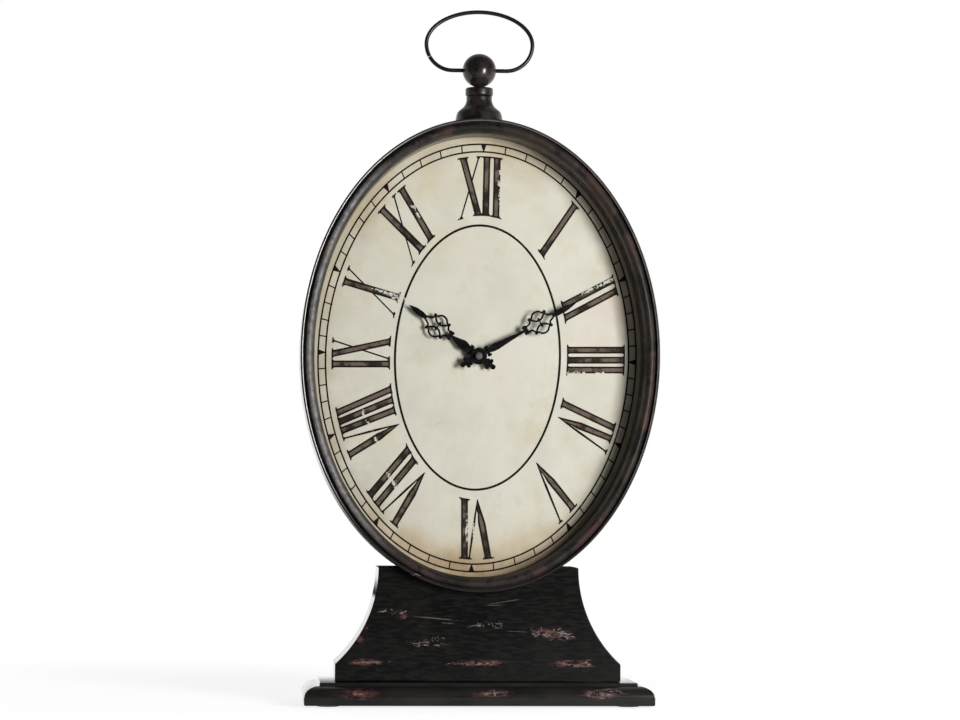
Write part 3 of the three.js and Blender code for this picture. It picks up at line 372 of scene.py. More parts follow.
def black_paint_finish():
    """Black paint over a red ground, drawn along the boards, rubbed and scratched in places."""
    finish, shader, place = new_finish("black_paint")
    _, depth, up = xyz(place)
    drawn = stretched(place, (0.22, 0.22, 1))
    brushed = patches(drawn, 420, 0.42, 0.62)
    chips = patches(drawn, 330, 0.38, 0.62, 5, 0.7, (0.2, 0, 0))
    ragged = (chips - 0.5) * 0.7
    front = fade(depth, -33.8, -34.6, mm)
    worn_place = (patches(drawn, 62, 0.62, 0.70, 2, 0.5, (0, 0.4, 0.1))
                  * patches(drawn, 150, 0.42, 0.58, 4, 0.6, (0.5, 0, 0.2)) * (1.0 - front))
    streaks = patches(drawn, 820, 0.36, 0.56, 3, 0.6, (0, 0, 0.3))
    red = (larger(worn_place, front * inside_marks(place, ragged, rubbed_red))
           * (fade(chips, 0.10, 0.45) * (streaks * 0.4 + 0.6)))
    flecks = red * patches(drawn, 600, 0.60, 0.68, 3, 0.6, (0.4, 0, 0))
    squiggle = read(place.tree, "ShaderNodeTexNoise", {
        "Vector": stretched(place, (0.42, 0.42, 1)), "Scale": 185.0, "Detail": 2.0,
        "Distortion": 1.3})
    line = (fade(maths("ABSOLUTE", squiggle - 0.5), 0.045, 0.012)
            * patches(place, 240, 0.36, 0.52, 3, 0.6, (0.7, 0, 0)))
    pale = line * larger(front * inside_marks(place, ragged, scratched), worn_place)
    cut = inside_marks(place, ragged, long_cuts) * front
    pale = larger(larger(pale, flecks), cut * 0.5)
    # Painted reflection: the plinth below the block is painted a lighter black in clouds, for the
    # floor's reflection in it.
    painted_floor_reflection = fade(up, 21.5, 21.2, mm) * (patches(drawn, 120, 0.3, 0.7) * 0.5 + 0.35)
    colour = layers(mix(patches(place, 14, 0.35, 0.7), (0.0032, 0.0031, 0.0030),
                        (0.0078, 0.0075, 0.0070)),
                    (brushed * 0.6, (0.0150, 0.0143, 0.0132)), (painted_floor_reflection, (0.024, 0.023, 0.0215)),
                    (red * 0.85, (0.125, 0.045, 0.038)), (pale * 0.8, (0.27, 0.215, 0.20)))
    rubbed_edge = fade(up, 18.4, 18.9, mm) * (fade(up, 23, 22, mm) * 0.12)
    upright = xyz(read(place.tree, "ShaderNodeNewGeometry", output="Normal"))[2]
    dull = fade(upright, 0.06, 0.2) * fade(up, 95, 100, mm)
    feed(shader, {"Base Color": colour, "Specular IOR Level": 0.10, "Coat Weight": 1.0 - dull,
         "Roughness": 0.22 - rubbed_edge + red * 0.2 + dull * 0.6, "Coat Roughness": 0.06,
         "Coat IOR": 1.12})
    roughen(shader, brushed * 0.18 - larger(red, pale) * 0.8, 0.05)
    return finish


def quarter(steps):
    """The sine and cosine of each step of a quarter turn, after its start."""
    angles = [math.pi / 2 * step / steps for step in range(1, steps + 1)]
    return [(math.sin(angle), math.cos(angle)) for angle in angles]


def moulded_levels():
    """(z, inset) of the plinth's outline from its foot to its top, rounded at the foot."""
    foot, edge_top, ovolo_top, top = [z for z, _ in plinth_levels]
    inset = plinth_levels[2][1]
    levels = [(foot, round_foot)]
    levels += [(foot + round_foot * (1 - cosine), round_foot * (1 - sine))
               for sine, cosine in quarter(round_steps)]
    levels += [(edge_top - 0.4, 0), (edge_top - 0.25, ovolo_quirk)]
    levels += [(edge_top + (ovolo_top - edge_top) * sine, inset - (inset - ovolo_quirk) * cosine)
               for sine, cosine in quarter(ovolo_steps)]
    return levels + [(top - 0.5, inset), (top - 0.15, inset + 0.15), (top, inset + 0.5)]


def moulded_board(levels):
    """A rectangular board with a moulded edge and square, slightly eased corners."""
    points, faces = [], []
    for z, inset in levels:
        half_x, half_y = plinth_half[0] - inset * mm, plinth_half[1] - inset * mm
        for sx, sy in ((-1, -1), (1, -1), (1, 1), (-1, 1)):
            square = Vector((sx * half_x, sy * half_y, z * mm))
            off_x = Vector((-sx * plinth_corner, 0, 0))
            off_y = Vector((0, -sy * plinth_corner, 0))
            start, end = (off_y, off_x) if sx == sy else (off_x, off_y)
            for share in (0, 0.25, 0.5, 0.75, 1):
                points.append(square + start * (1 - share) ** 2 + end * share ** 2)
    ring = len(points) // len(levels)
    for level in range(len(levels) - 1):
        for i in range(ring):
            j = (i + 1) % ring
            a, b = level * ring, (level + 1) * ring
            faces.append((a + i, a + j, b + j, b + i))
    faces.append(tuple(reversed(range(ring))))
    faces.append(tuple(range((len(levels) - 1) * ring, len(levels) * ring)))
    return points, faces


black_paint = black_paint_finish()
plinth = make_piece("plinth_moulded", *moulded_board(moulded_levels()), black_paint)
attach(plinth, "clock")
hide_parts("plinth")

# ---- Coved block ----
# A hollow block: front and back boards sawn to a coved outline and dished on top for the case, with
# bent side walls between them, glued, filled and painted black like the plinth.
block_bottom = 21.6
riser_top = 37.2
block_top = 124.2
block_half = 129.0
block_top_half = 90.4
cove_wall = 16
cove_steps = 28
board_out, board_in = 35, 22.8
wall_end = board_in - 0.05
board_ease = 0.9 * mm
wall_ease = 0.15 * mm
case_half = (162.4, 213.8)
case_middle = 316.0
seat_gap = 0.06
seat_steps = 36
cove_rise = block_top - riser_top
cove_spread = block_half - block_top_half
cove_radius = (cove_rise ** 2 + cove_spread ** 2) / (2 * cove_spread)


def block_side():
    """(half width, z) up one side of the block: a plain riser, then one hollow curve."""
    side = [(block_half, block_bottom), (block_half, riser_top)]
    for step in range(1, cove_steps + 1):
        z = riser_top + cove_rise * step / cove_steps
        side.append((block_top_half + cove_radius
                     - math.sqrt(cove_radius ** 2 - (block_top - z) ** 2), z))
    return side


def seat_curve():
    """The dish in the block's top, from right to left, just clear of the case."""
    half_x, half_z = case_half[0] + seat_gap, case_half[1] + seat_gap
    edge = math.acos((case_middle - block_top) / half_z)
    return [(half_x * math.sin(edge * share), case_middle - half_z * math.cos(edge * share))
            for share in (1 - 2 * i / seat_steps for i in range(seat_steps + 1))]


def thick_sheet(flat, faces, front, back):
    """A flat mesh of (x, z) points in metres, made a closed plate from front to back in mm."""
    count = len(flat)
    points = [(x, y * mm, z) for y in (front, back) for x, z in flat]
    edges = dict.fromkeys((a, b) for face in faces for a, b in zip(face, face[1:] + face[:1]))
    solid = list(faces) + [tuple(i + count for i in reversed(face)) for face in faces]
    solid += [(a, a + count, b + count, b) for a, b in edges if (b, a) not in edges]
    return points, solid


def cut_plate(outline, front, back):
    """A plate of one closed outline of (x, z) points, all in mm."""
    flat = [(x * mm, z * mm) for x, z in outline]
    return thick_sheet(flat, [tuple(range(len(flat)))], front, back)


def ease_edges(piece, width, segments=3, angle=40):
    """Rounds a piece's sharp edges with a live bevel."""
    bevel = piece.modifiers.new("eased_edges", "BEVEL")
    bevel.width = width
    bevel.segments = segments
    bevel.limit_method = "ANGLE"
    bevel.angle_limit = math.radians(angle)
    bevel.harden_normals = False


right_side = block_side()
left_side = [(-x, z) for x, z in reversed(right_side)]
board = right_side + seat_curve() + left_side
right_wall = right_side + [(x - cove_wall, z) for x, z in reversed(right_side)]
left_wall = [(-x, z) for x, z in right_wall]
for name, node, outline, front, back, ease, segments in (
    ("block_front", "pedestal_front_board", board, -board_out, -board_in, board_ease, 3),
    ("block_back", "pedestal_back_board", board, board_in, board_out, board_ease, 3),
    ("block_left_cove", "pedestal_left_cove", left_wall, -wall_end, wall_end, wall_ease, 2),
    ("block_right_cove", "pedestal_right_cove", right_wall, -wall_end, wall_end, wall_ease, 2),
):
    side = make_piece(name, *cut_plate(outline, front, back), black_paint)
    ease_edges(side, ease, segments)
    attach(side, "clock")
    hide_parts(node)

# ---- Case band and back ring ----
# A strip of sheet metal bent to an oval and soldered, its edges rolled round, with a flat ring
# soldered inside the back edge. All of the case is patinated a dark, mottled bronze.
band_wall = 2.2
band_front = -48
band_back = 38
ring_inside = 14
ring_front = 35.8
seam = 0.15
band_ease = 1.0
ring_ease = 0.3
oval_sides = 288
grown_weld = 0.000001


def inset_of(place):
    """How far a point lies in from the case's outline, in metres."""
    half_x, half_z = (half * mm for half in case_half)
    across, _, up = xyz(place)
    wide = (across / half_x) ** 2.0
    high = ((up - case_middle * mm) / half_z) ** 2.0
    square = wide + high
    return (1.0 - maths("SQRT", square)) * square / (wide / half_x + high / half_z)


def bronze_finish(name, roughness, case_with_painted_light=False, red_share=0.75):
    """Dark patina in black, brown and red-brown clouds. For the case it adds painted light: a
    painted highlight on the lip's inner corner, strongest at the upper left, a grey painted
    highlight on the crest of the left side, and painted shade on the skirt by the dial and on the
    outside of the lower part. The case's outer skin is also smoother."""
    finish, shader, place = new_finish(name)
    cloud = patches(place, 40, 0.45, 0.53, 5, 0.6)
    fine = patches(place, 170, 0.35, 0.7, 4, 0.6, (0.1, 0, 0.3))
    redness = patches(place, 34, 0.53, 0.60, 4, 0.6, (0.6, 0.2, 0))
    colour = layers(mix(cloud, (0.0080, 0.0073, 0.0068), (0.0300, 0.0225, 0.0190)),
                    (fine * 0.5, (0.0270, 0.0230, 0.0200)),
                    (redness * red_share, (0.0600, 0.0330, 0.0290)))
    shine = fine * 0.10 + roughness
    metal, clear, tooth = 0.0, 0.8, 1.0
    if case_with_painted_light:
        across, depth, up = xyz(place)
        inset = inset_of(place)
        upper = fade(up, 150, 235, mm)
        # Painted shade: the skirt that slopes back to the dial is painted near black, where the
        # recess is shaded.
        painted_skirt_shade = fade(depth, -37, -33, mm) * fade(inset, 9, 11, mm)
        # Painted highlight: the crest of the left side is painted pale grey metal in blotches,
        # where a highlight falls.
        crest = fade(inset, 4.6, 6.6, mm) * fade(inset, 11.6, 9.2, mm)
        painted_crest_highlight = (crest * fade(across, -70, -125, mm) * (fine * 0.5 + 0.35)
                * fade(depth, -40, -43, mm))
        # Painted highlight: the lip's inner corner is painted bright metal, strongest at the upper
        # left.
        painted_lip_highlight = (fade(inset, 1.35, 1.75, mm) * fade(inset, 2.7, 2.3, mm)
               * fade(depth, -45.8, -46.6, mm)
               * ((fade(across, -40, -90, mm) * 0.7 + 0.3) * upper))
        # Painted shade: the outside of the case's lower part is painted darker.
        under = fade(up, 240, 150, mm) * fade(inset, 3.6, 2.4, mm)
        painted_highlights = larger(painted_crest_highlight * 0.62, painted_lip_highlight)
        skin = fade(inset, 0.5, 0.2, mm) * upper
        colour = layers(colour, (painted_skirt_shade * 0.8, (0.0035, 0.0032, 0.0030)),
                        (under * 0.75, (0.0045, 0.0042, 0.0040)), (painted_highlights, (0.44, 0.44, 0.43)))
        shine = shine - painted_highlights * 0.16 - skin * 0.36
        metal, clear, tooth = painted_highlights * 0.75, upper * 0.8, 1.0 - skin * 0.96
    feed(shader, {"Base Color": colour, "Roughness": shine, "Metallic": metal,
         "Specular IOR Level": 0.16 if case_with_painted_light else 0.35,
         "Coat Weight": clear, "Coat Roughness": 0.08, "Coat IOR": 1.12})
    roughen(shader, fine, 0.04, tooth)
    return finish


def new_tree(name, numbers, counts=()):
    """An empty node tree for shapes; returns it and the readings of its named inputs."""
    tree = bpy.data.node_groups.new(name, "GeometryNodeTree")
    kinds = {"Geometry": "Geometry", **dict.fromkeys(numbers, "Float"),
             **dict.fromkeys(counts, "Int"), "Finish": "Material"}
    for label, kind in kinds.items():
        tree.interface.new_socket(label, in_out="INPUT", socket_type="NodeSocket" + kind)
    tree.interface.new_socket("Geometry", in_out="OUTPUT", socket_type="NodeSocketGeometry")
    given = tree.nodes.new("NodeGroupInput")
    return tree, {label: Reading(given, label) for label in kinds}


def end_tree(shape, finish):
    """Makes a tree's shape real, gives it its finish and passes it out."""
    whole = read(shape.tree, "GeometryNodeRealizeInstances", {"Geometry": shape})
    painted = read(shape.tree, "GeometryNodeSetMaterial", {"Geometry": whole, "Material": finish})
    add_node(shape.tree, "NodeGroupOutput", {"Geometry": painted})
    return shape.tree


def combined(tree, x, y, z):
    return read(tree, "ShaderNodeCombineXYZ", {"X": x, "Y": y, "Z": z})


def oval_tree():
    """Sweeps a closed profile round an oval. Each point keeps its inset from both half axes."""
    tree, given = new_tree("sweep_round_oval", ("Half width", "Half height", "Middle across",
                                                "Middle height", "Turn"), ("Sides",))
    profile = read(tree, "GeometryNodeMeshToCurve", {"Mesh": given["Geometry"]})
    ring = read(tree, "GeometryNodeCurvePrimitiveCircle", {"Resolution": given["Sides"],
                "Radius": 1.0})
    swept = read(tree, "GeometryNodeCurveToMesh", {"Curve": ring, "Profile Curve": profile})
    x, y, z = xyz(read(tree, "GeometryNodeInputPosition"))
    radius = maths("SQRT", x * x + y * y)
    inset = 1.0 - radius
    across = (given["Half width"] - inset) * (x / radius)
    up = (given["Half height"] - inset) * (y / radius)
    cosine, sine = maths("COSINE", given["Turn"]), maths("SINE", given["Turn"])
    laid = combined(tree, across * cosine + up * sine + given["Middle across"], z * -1.0,
                    up * cosine - across * sine + given["Middle height"])
    return end_tree(read(tree, "GeometryNodeSetPosition", {"Geometry": swept, "Position": laid}),
                    given["Finish"])


def grow(name, seed_mesh, tree, inputs, finish, smooth=35):
    """Runs a node tree once on a seed mesh, and keeps its result as a plain mesh piece."""
    seed = new_object(name + "_seed", seed_mesh)
    modifier = seed.modifiers.new("grow", "NODES")
    modifier.node_group = tree
    given = {**inputs, "Finish": finish}
    for socket in tree.interface.items_tree:
        if socket.in_out == "INPUT" and socket.name in given:
            modifier[socket.identifier] = given[socket.name]
    graph = bpy.context.evaluated_depsgraph_get()
    mesh = bpy.data.meshes.new_from_object(seed.evaluated_get(graph), depsgraph=graph)
    seed.modifiers.clear()
    bpy.data.objects.remove(seed)
    return to_piece(name, mesh, finish, smooth, grown_weld)


sweep_round_oval = oval_tree()


def oval_ring(name, profile, finish, half=case_half, middle=(0, case_middle), turn=0.0):
    """A ring round an oval, from a closed profile of (inset, y) pairs in mm."""
    count = len(profile)
    seed_mesh = new_mesh(name + "_profile", [(-inset * mm, y * mm, 0) for inset, y in profile],
                         [(i, (i + 1) % count) for i in range(count)])
    return grow(name, seed_mesh, sweep_round_oval, {
        "Half width": half[0] * mm, "Half height": half[1] * mm, "Middle across": middle[0] * mm,
        "Middle height": middle[1] * mm, "Turn": turn, "Sides": oval_sides}, finish)


def closed_round(profile, radius, steps=4):
    """A closed profile with every corner rounded."""
    start = tuple((Vector(profile[0]) + Vector(profile[-1])) / 2)
    return rounded([start, *profile, start], radius, steps)[:-1]


def hold_flats(profile, reach=0.4):
    """Adds a point near each end of a closed profile's long sides, so that they shade flat."""
    held = []
    for a, b in zip(profile, profile[1:] + profile[:1]):
        start, end = Vector(a), Vector(b)
        held.append(a)
        if (end - start).length > 6 * reach:
            step = (end - start).normalized() * reach
            held += [tuple(start + step), tuple(end - step)]
    return held


case_bronze_with_painted_light = bronze_finish("case_bronze_with_painted_light", 0.56, case_with_painted_light=True)
band = oval_ring("case_band_rolled", hold_flats(closed_round(
    [(0, band_front), (0, band_back), (band_wall, band_back), (band_wall, band_front)],
    band_ease)), case_bronze_with_painted_light)
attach(band, "clock")
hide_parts("case_band")
ring = oval_ring("back_ring_flat", closed_round(
    [(band_wall + seam, ring_front), (band_wall + seam, band_back), (ring_inside, band_back),
     (ring_inside, ring_front)], ring_ease), case_bronze_with_painted_light)
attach(ring, "clock")
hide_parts("back_ring")

# ---- Bezel ----
# A hollow half-round moulding pressed from sheet, set in the band's front behind its lip, with a
# skirt that slopes back to the dial.
bezel_start = 3.2
bezel_end = 12.8
bezel_wall = 1.5
bezel_front = -47
bezel_lip = -34
bezel_back = -8.35
bezel_inside = -29
bezel_rise = 4.5
bezel_seat = (-43, -38)
crest_inset = 7.7
bezel_steps = 14
bezel_profile = [(bezel_end - bezel_wall, bezel_back), (bezel_end, bezel_back)]
bezel_profile += [(crest_inset + (bezel_end - crest_inset) * sine,
                   bezel_front + (bezel_lip - bezel_front) * (1 - cosine))
                  for sine, cosine in [*reversed(quarter(bezel_steps)), (0, 1)]]
bezel_profile += [(crest_inset - (crest_inset - bezel_start) * sine,
                   bezel_front + bezel_rise * (1 - cosine))
                  for sine, cosine in quarter(bezel_steps // 2)]
bezel_profile += [(bezel_start, bezel_seat[0]), (band_wall + seam, bezel_seat[0]),
                  (band_wall + seam, bezel_seat[1]), (bezel_end - bezel_wall, bezel_inside)]
bezel = oval_ring("bezel_half_round", bezel_profile, case_bronze_with_painted_light)
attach(bezel, "clock")
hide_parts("bezel")

# ---- Dial sheet ----
# Thick paper, printed, toned with tea-coloured stains and varnished, glued to a board that fills
# the case. It is palest in the middle, yellow at the upper left and browned round its edge, by
# stains and by painted shade under the bezel.
dial_front = -8.2
sheet_back = -7.6
dial_inset = 2.6
toned_half = (146 * mm, 196 * mm)
paper_pale = (0.655, 0.635, 0.540)
paper_grey = (0.585, 0.570, 0.478)
paper_yellow = (0.58, 0.50, 0.33)
paper_pink = (0.66, 0.57, 0.50)
paper_stained = (0.54, 0.50, 0.34)
paper_peach = (0.56, 0.36, 0.155)
paper_brown_stain_and_shade = (0.35, 0.26, 0.15)
paper_scorched = (0.20, 0.125, 0.035)


def toned_paper_finish():
    finish, shader, place = new_finish("toned_paper")
    x, _, z = xyz(place)
    across, up = x / toned_half[0], (z - case_middle * mm) / toned_half[1]
    ragged = (maths("SQRT", across ** 2.0 + up ** 2.0) + patches(place, 34, 0.3, 0.7, 5) * 0.11)
    yellow = (fade(up * 0.8 + across * -0.35, 0.25, 0.95)
              * patches(place, 21, 0.36, 0.68, 5, 0.6, (0.3, 0, 0)))
    pink = patches(place, 12, 0.5, 0.75, 5, 0.6, (0, 0, 0.7)) * 0.6
    low = fade(up, -0.62, -1.0) * fade(ragged, 0.80, 1.06)
    # Painted shade: the edge is browned all round, partly as a stain and partly as painted shade
    # under the bezel.
    edge = fade(ragged, 0.90, 1.11) * 0.6
    scorched = (fade(up, -0.86, -0.98) * fade(across, -0.6, 0.0)
                * (patches(place, 60, 0.3, 0.7) * 0.35 + 0.35))
    foxing = patches(place, 85, 0.68, 0.80, 3, 0.5, (0, 0, 0.2)) * patches(place, 9, 0.45, 0.7)
    spots = (patches(place, 58, 0.50, 0.66, 5, 0.65, (0.5, 0, 0.5))
             * patches(place, 15, 0.38, 0.6, 3, 0.5, (0.9, 0, 0)))
    blotches = (patches(place, 30, 0.54, 0.66, 5, 0.65, (0.2, 0, 0.9))
                * patches(place, 150, 0.25, 0.7, 4, 0.6, (0.4, 0, 0.1)))
    streaks = patches(stretched(place, (1, 1, 0.12)), 260, 0.35, 0.7, 3, 0.6)
    fibres = patches(place, 700, 0.3, 0.7, 2)
    colour = layers(mix(patches(place, 23, 0.40, 0.70, 6), paper_pale, paper_grey),
                    (yellow, paper_yellow), (pink, paper_pink), (low * 0.72, paper_peach),
                    (edge, paper_brown_stain_and_shade), (scorched, paper_scorched), (foxing * 0.30, paper_brown_stain_and_shade),
                    (spots * 0.42, paper_yellow), (blotches * 0.45, paper_stained),
                    (streaks * 0.14, paper_grey), (fibres * 0.10, paper_grey))
    feed(shader, {"Base Color": colour, "Roughness": 0.62, "Specular IOR Level": 0.3})
    roughen(shader, fibres, 0.03)
    return finish


half_x, half_z = (half - dial_inset for half in case_half)
sheet_rim = [(half_x * math.sin(2 * math.pi * i / oval_sides),
              case_middle + half_z * math.cos(2 * math.pi * i / oval_sides))
             for i in range(oval_sides)]
dial_sheet = make_piece("dial_paper", *cut_plate(sheet_rim, dial_front, sheet_back),
                        toned_paper_finish())
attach(dial_sheet, "clock")
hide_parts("dial_sheet")

# ---- Printed ovals and minute marks ----
# Ink on the paper, a film no thicker than a hair: two thin ovals with a mark for each minute, a
# small pointer at every fifth, and a stronger oval round the middle. The print is a little turned.
ink_back = dial_front + 0.02
line_front = dial_front - 0.05
film = (ink_back - line_front) * mm
print_middle = (-0.3, 315.2)
print_turn = math.radians(1.35)
track_outer = (146.3, 196.2)
track_inner = (139.5, 189.3)
middle_oval = (75.5, 120.8)
track_line = 1.5
middle_line = 2.1
minute_line = 1.15
pointer_width = 5.4
pointer_tip = 0.06
minutes = 60

# Places where the ink has come off: across, height, half length, half height, all in mm, and tilt.
ink_gone = [(20.9, 459.6, 1.9, 8, 4), (19.4, 485, 1.2, 2.2, 0), (18.6, 474, 1.2, 3, 20),
            (-60.1, 452.3, 2.4, 2, 30), (-56, 445.5, 1.2, 3, 30), (-81, 372.6, 13, 1.3, -16),
            (-74, 369.2, 5, 2.6, -16), (118, 385.4, 11, 1.3, 27), (100.6, 377, 8, 1.1, 27),
            (88.3, 301.6, 5, 1.5, 0), (97.3, 302.2, 1.2, 0.9, 0), (112, 301.6, 4, 1.1, 0),
            (119, 300.9, 6, 0.8, 0), (-104, 262.6, 1, 5, 15), (-98.4, 251.1, 1, 7, 25),
            (-92.5, 239, 1, 6, 25), (-77.3, 201.8, 1.4, 9, 30), (-71.6, 195, 3, 1, 30),
            (-9.2, 159.5, 1.2, 9, 0), (-3.2, 158, 0.9, 12, 4)]


def ink_finish(name, colour, worn_colour, grain, low, high):
    """Printing ink, thin and paler in places, and gone in a few."""
    finish, shader, place = new_finish(name)
    ragged = (patches(place, 520, 0.36, 0.64, 4, 0.7) - 0.5) * 1.5
    colour = layers(mix(patches(place, grain, low, high, 5, 0.6), colour, worn_colour),
                    (inside_marks(place, ragged, ink_gone) * 0.9, paper_pale))
    feed(shader, {"Base Color": colour, "Roughness": 0.6, "Specular IOR Level": 0.06})
    return finish


line_ink = ink_finish("line_ink", (0.010, 0.0075, 0.005), (0.064, 0.049, 0.033), 320, 0.55, 0.85)
for name, half, width in (
    ("printed_outer_oval", track_outer, track_line),
    ("printed_inner_oval", track_inner, track_line),
    ("printed_middle_oval", [half + middle_line / 2 for half in middle_oval], middle_line),
):
    line = oval_ring(name, [(0, line_front), (0, ink_back), (width, ink_back),
                            (width, line_front)], line_ink, half, print_middle, print_turn)
    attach(line, "clock")

oval_names = ("Outer half width", "Outer half height", "Inner half width", "Inner half height")


def minute_mark_tree():
    """Sets one mark at each minute between two ovals, stretched to reach from one to the other."""
    tree, given = new_tree("marks_between_ovals", (*oval_names, "Middle across", "Middle height",
                                                   "Turn", "Width", "Depth place", "Fifths"))
    index = read(tree, "GeometryNodeInputIndex")
    angle = index * (2 * math.pi / minutes)

    def reach(wide, high):
        across, up = maths("SINE", angle) / given[wide], maths("COSINE", angle) / given[high]
        return 1.0 / maths("SQRT", across * across + up * up)

    outer, inner = reach(*oval_names[:2]), reach(*oval_names[2:])
    bearing = angle + given["Turn"]
    spot = combined(tree, outer * maths("SINE", bearing) + given["Middle across"],
                    given["Depth place"], outer * maths("COSINE", bearing)
                    + given["Middle height"])
    row = read(tree, "GeometryNodeMeshLine", {"Count": minutes})
    laid = read(tree, "GeometryNodeSetPosition", {"Geometry": row, "Position": spot})
    fifth = maths("LESS_THAN", maths("MODULO", index, 5.0), 0.5)
    wanted = maths("LESS_THAN", maths("ABSOLUTE", fifth - given["Fifths"]), 0.5)
    marks = read(tree, "GeometryNodeInstanceOnPoints", {
        "Points": laid, "Selection": wanted, "Instance": given["Geometry"],
        "Rotation": combined(tree, 0.0, bearing, 0.0),
        "Scale": combined(tree, given["Width"], 1.0, outer - inner)})
    return end_tree(marks, given["Finish"])


marks_between_ovals = minute_mark_tree()
between = {name: (half - track_line / 2) * mm
           for name, half in zip(oval_names, track_outer + track_inner)}
for name, tip, width, fifths in (("printed_minutes", 0.5, minute_line, 0.0),
                                 ("printed_pointers", pointer_tip, pointer_width, 1.0)):
    mark_mesh = new_mesh(name + "_seed", [
        (x, y, z) for y in (0, film) for x, z in ((-0.5, 0), (0.5, 0), (tip, -1), (-tip, -1))],
        faces=[(0, 1, 2, 3), (7, 6, 5, 4), (0, 4, 5, 1), (1, 5, 6, 2), (2, 6, 7, 3), (3, 7, 4, 0)])
    marks = grow(name, mark_mesh, marks_between_ovals, {
        **between, "Middle across": print_middle[0] * mm, "Middle height": print_middle[1] * mm,
        "Turn": print_turn, "Width": width * mm, "Depth place": line_front * mm,
        "Fifths": fifths}, line_ink)
    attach(marks, "clock")

# ---- Numerals ----
# Roman hours printed with their feet to the middle, stretched to fill the ring between two ovals:
# an even grey-brown ink inside a dark outline, with hair serifs along the ovals.
numeral_middle = (0.7, 315.2)
numeral_outer = (134.4, 184.6)
numeral_inner = (81.0, 129.7)
stem = 6.3
hair = 1.5
stem_flare = 1.2
flare_drop = 2.9
serif_reach = 1.9
serif_depth = 1.3
outline_width = 1.6
v_tip = 0.35
v_sink = 3.2
v_core_sink = 2.2
v_waist = 0.40
v_fork = 0.4
v_bend = 0.05
v_least = 0.3
body_lift = 0.03
outline_merge = 1e-5
thin_weld = 0.0000005
# Hour: its strokes as (width, how far across its outer end lies, and its inner end), clockwise.
hours = {
    12: [(stem, -19.8, -4.0), (hair, -5.0, -20.3), (stem, 2.3, 2.5), (stem, 11.8, 12.0)],
    1: [(stem, 1.9, -0.7)],
    2: [(stem, -4.3, -5.0), (stem, 5.9, 5.5)],
    3: [(stem, -11.0, -9.2), (stem, -1.8, 0.0), (stem, 7.3, 8.9)],
    4: [(stem, -10.6, -4.7), (stem, -0.9, 8.2), (hair, 11.9, 8.2)],
    5: [(stem, -10.9, -0.9), (hair, 5.3, -0.9)],
    6: [(stem, -14.2, -2.6), (hair, 3.4, -2.6), (stem, 7.6, 9.2)],
    7: [(stem, -14.3, -13.3), (hair, 0.9, -13.3), (stem, 8.6, 0.9), (stem, 18.4, 10.2)],
    8: [(stem, -22.6, -19.3), (hair, -6.7, -19.3), (stem, 0.3, -6.1), (stem, 8.3, 3.1),
        (stem, 16.4, 12.2)],
    9: [(stem, -10.4, -8.7), (stem, -1.2, 12.0), (hair, 11.4, -4.3)],
    10: [(stem, -5.9, 7.9), (hair, 6.5, -7.9)],
    11: [(stem, -14.2, 1.1), (hair, 1.8, -12.3), (stem, 10.7, 12.9)],
}
# Where a numeral has a V: the numbers of its thick and thin strokes, which meet in a point.
pointed = {4: (1, 2), 5: (0, 1), 6: (0, 1), 7: (0, 1), 8: (0, 1)}


def on_oval(half, bearing, across):
    """How far along a bearing an oval lies, at a distance across it, in mm."""
    sine, cosine = math.sin(bearing), math.cos(bearing)
    a = (sine / half[0]) ** 2 + (cosine / half[1]) ** 2
    b = 2 * across * sine * cosine * (1 / half[0] ** 2 - 1 / half[1] ** 2)
    c = (across * cosine / half[0]) ** 2 + (across * sine / half[1]) ** 2 - 1
    return (-b + math.sqrt(b * b - 4 * a * c)) / (2 * a)


def stroke_outline(bearing, width, outer, inner, shrink):
    """A stem between the two ovals, its ends cut along them and flared towards their serifs."""
    half = width / 2 - shrink
    flare = 0 if shrink else stem_flare
    edges = []
    for side in (-1, 1):
        top_x, foot_x = outer + side * half, inner + side * half
        top = on_oval(numeral_outer, bearing, top_x) - shrink
        foot = on_oval(numeral_inner, bearing, foot_x) + shrink
        edges.append((side, top_x, top, foot_x, foot))
    length = edges[1][2] - edges[1][4]
    drops = [length / 2] if shrink else [flare_drop, length / 2, length - flare_drop]
    left, right = ([(top_x + side * flare, top),
                    *((top_x + (foot_x - top_x) * drop / length, top + (foot - top) * drop / length)
                      for drop in drops), (foot_x + side * flare, foot)]
                   for side, top_x, top, foot_x, foot in edges)
    return [left[0], *right, *left[:0:-1]]


def serif_outline(oval, bearing, middle, reach, inward):
    """A hair line along an oval, as far to either side of a place across a bearing."""
    edge = [(u, on_oval(oval, bearing, u))
            for u in (middle + reach * (i / 2 - 1) for i in range(5))]
    return edge + [(u, v - inward * serif_depth) for u, v in reversed(edge)]


def v_stroke_outline(bearing, width, outer, inner, shrink):
    """One stroke of a V, running to a point at its foot."""
    top, foot = on_oval(numeral_outer, bearing, outer), on_oval(numeral_inner, bearing, inner)
    half = width / 2 - shrink
    flare, tip = (0, 0.0) if shrink else (stem_flare, v_tip)
    left, right = ([
        (outer + side * (half + flare),
         on_oval(numeral_outer, bearing, outer + side * half) - shrink),
        (outer + side * half + (inner - outer) * v_bend, top - (top - foot) * v_bend),
        (inner + side * (tip + half) + (outer - inner) * v_waist, foot + (top - foot) * v_waist),
        (inner + side * tip, foot + v_sink * shrink)] for side in (-1, 1))
    return [left[0], *right, *left[:0:-1]]


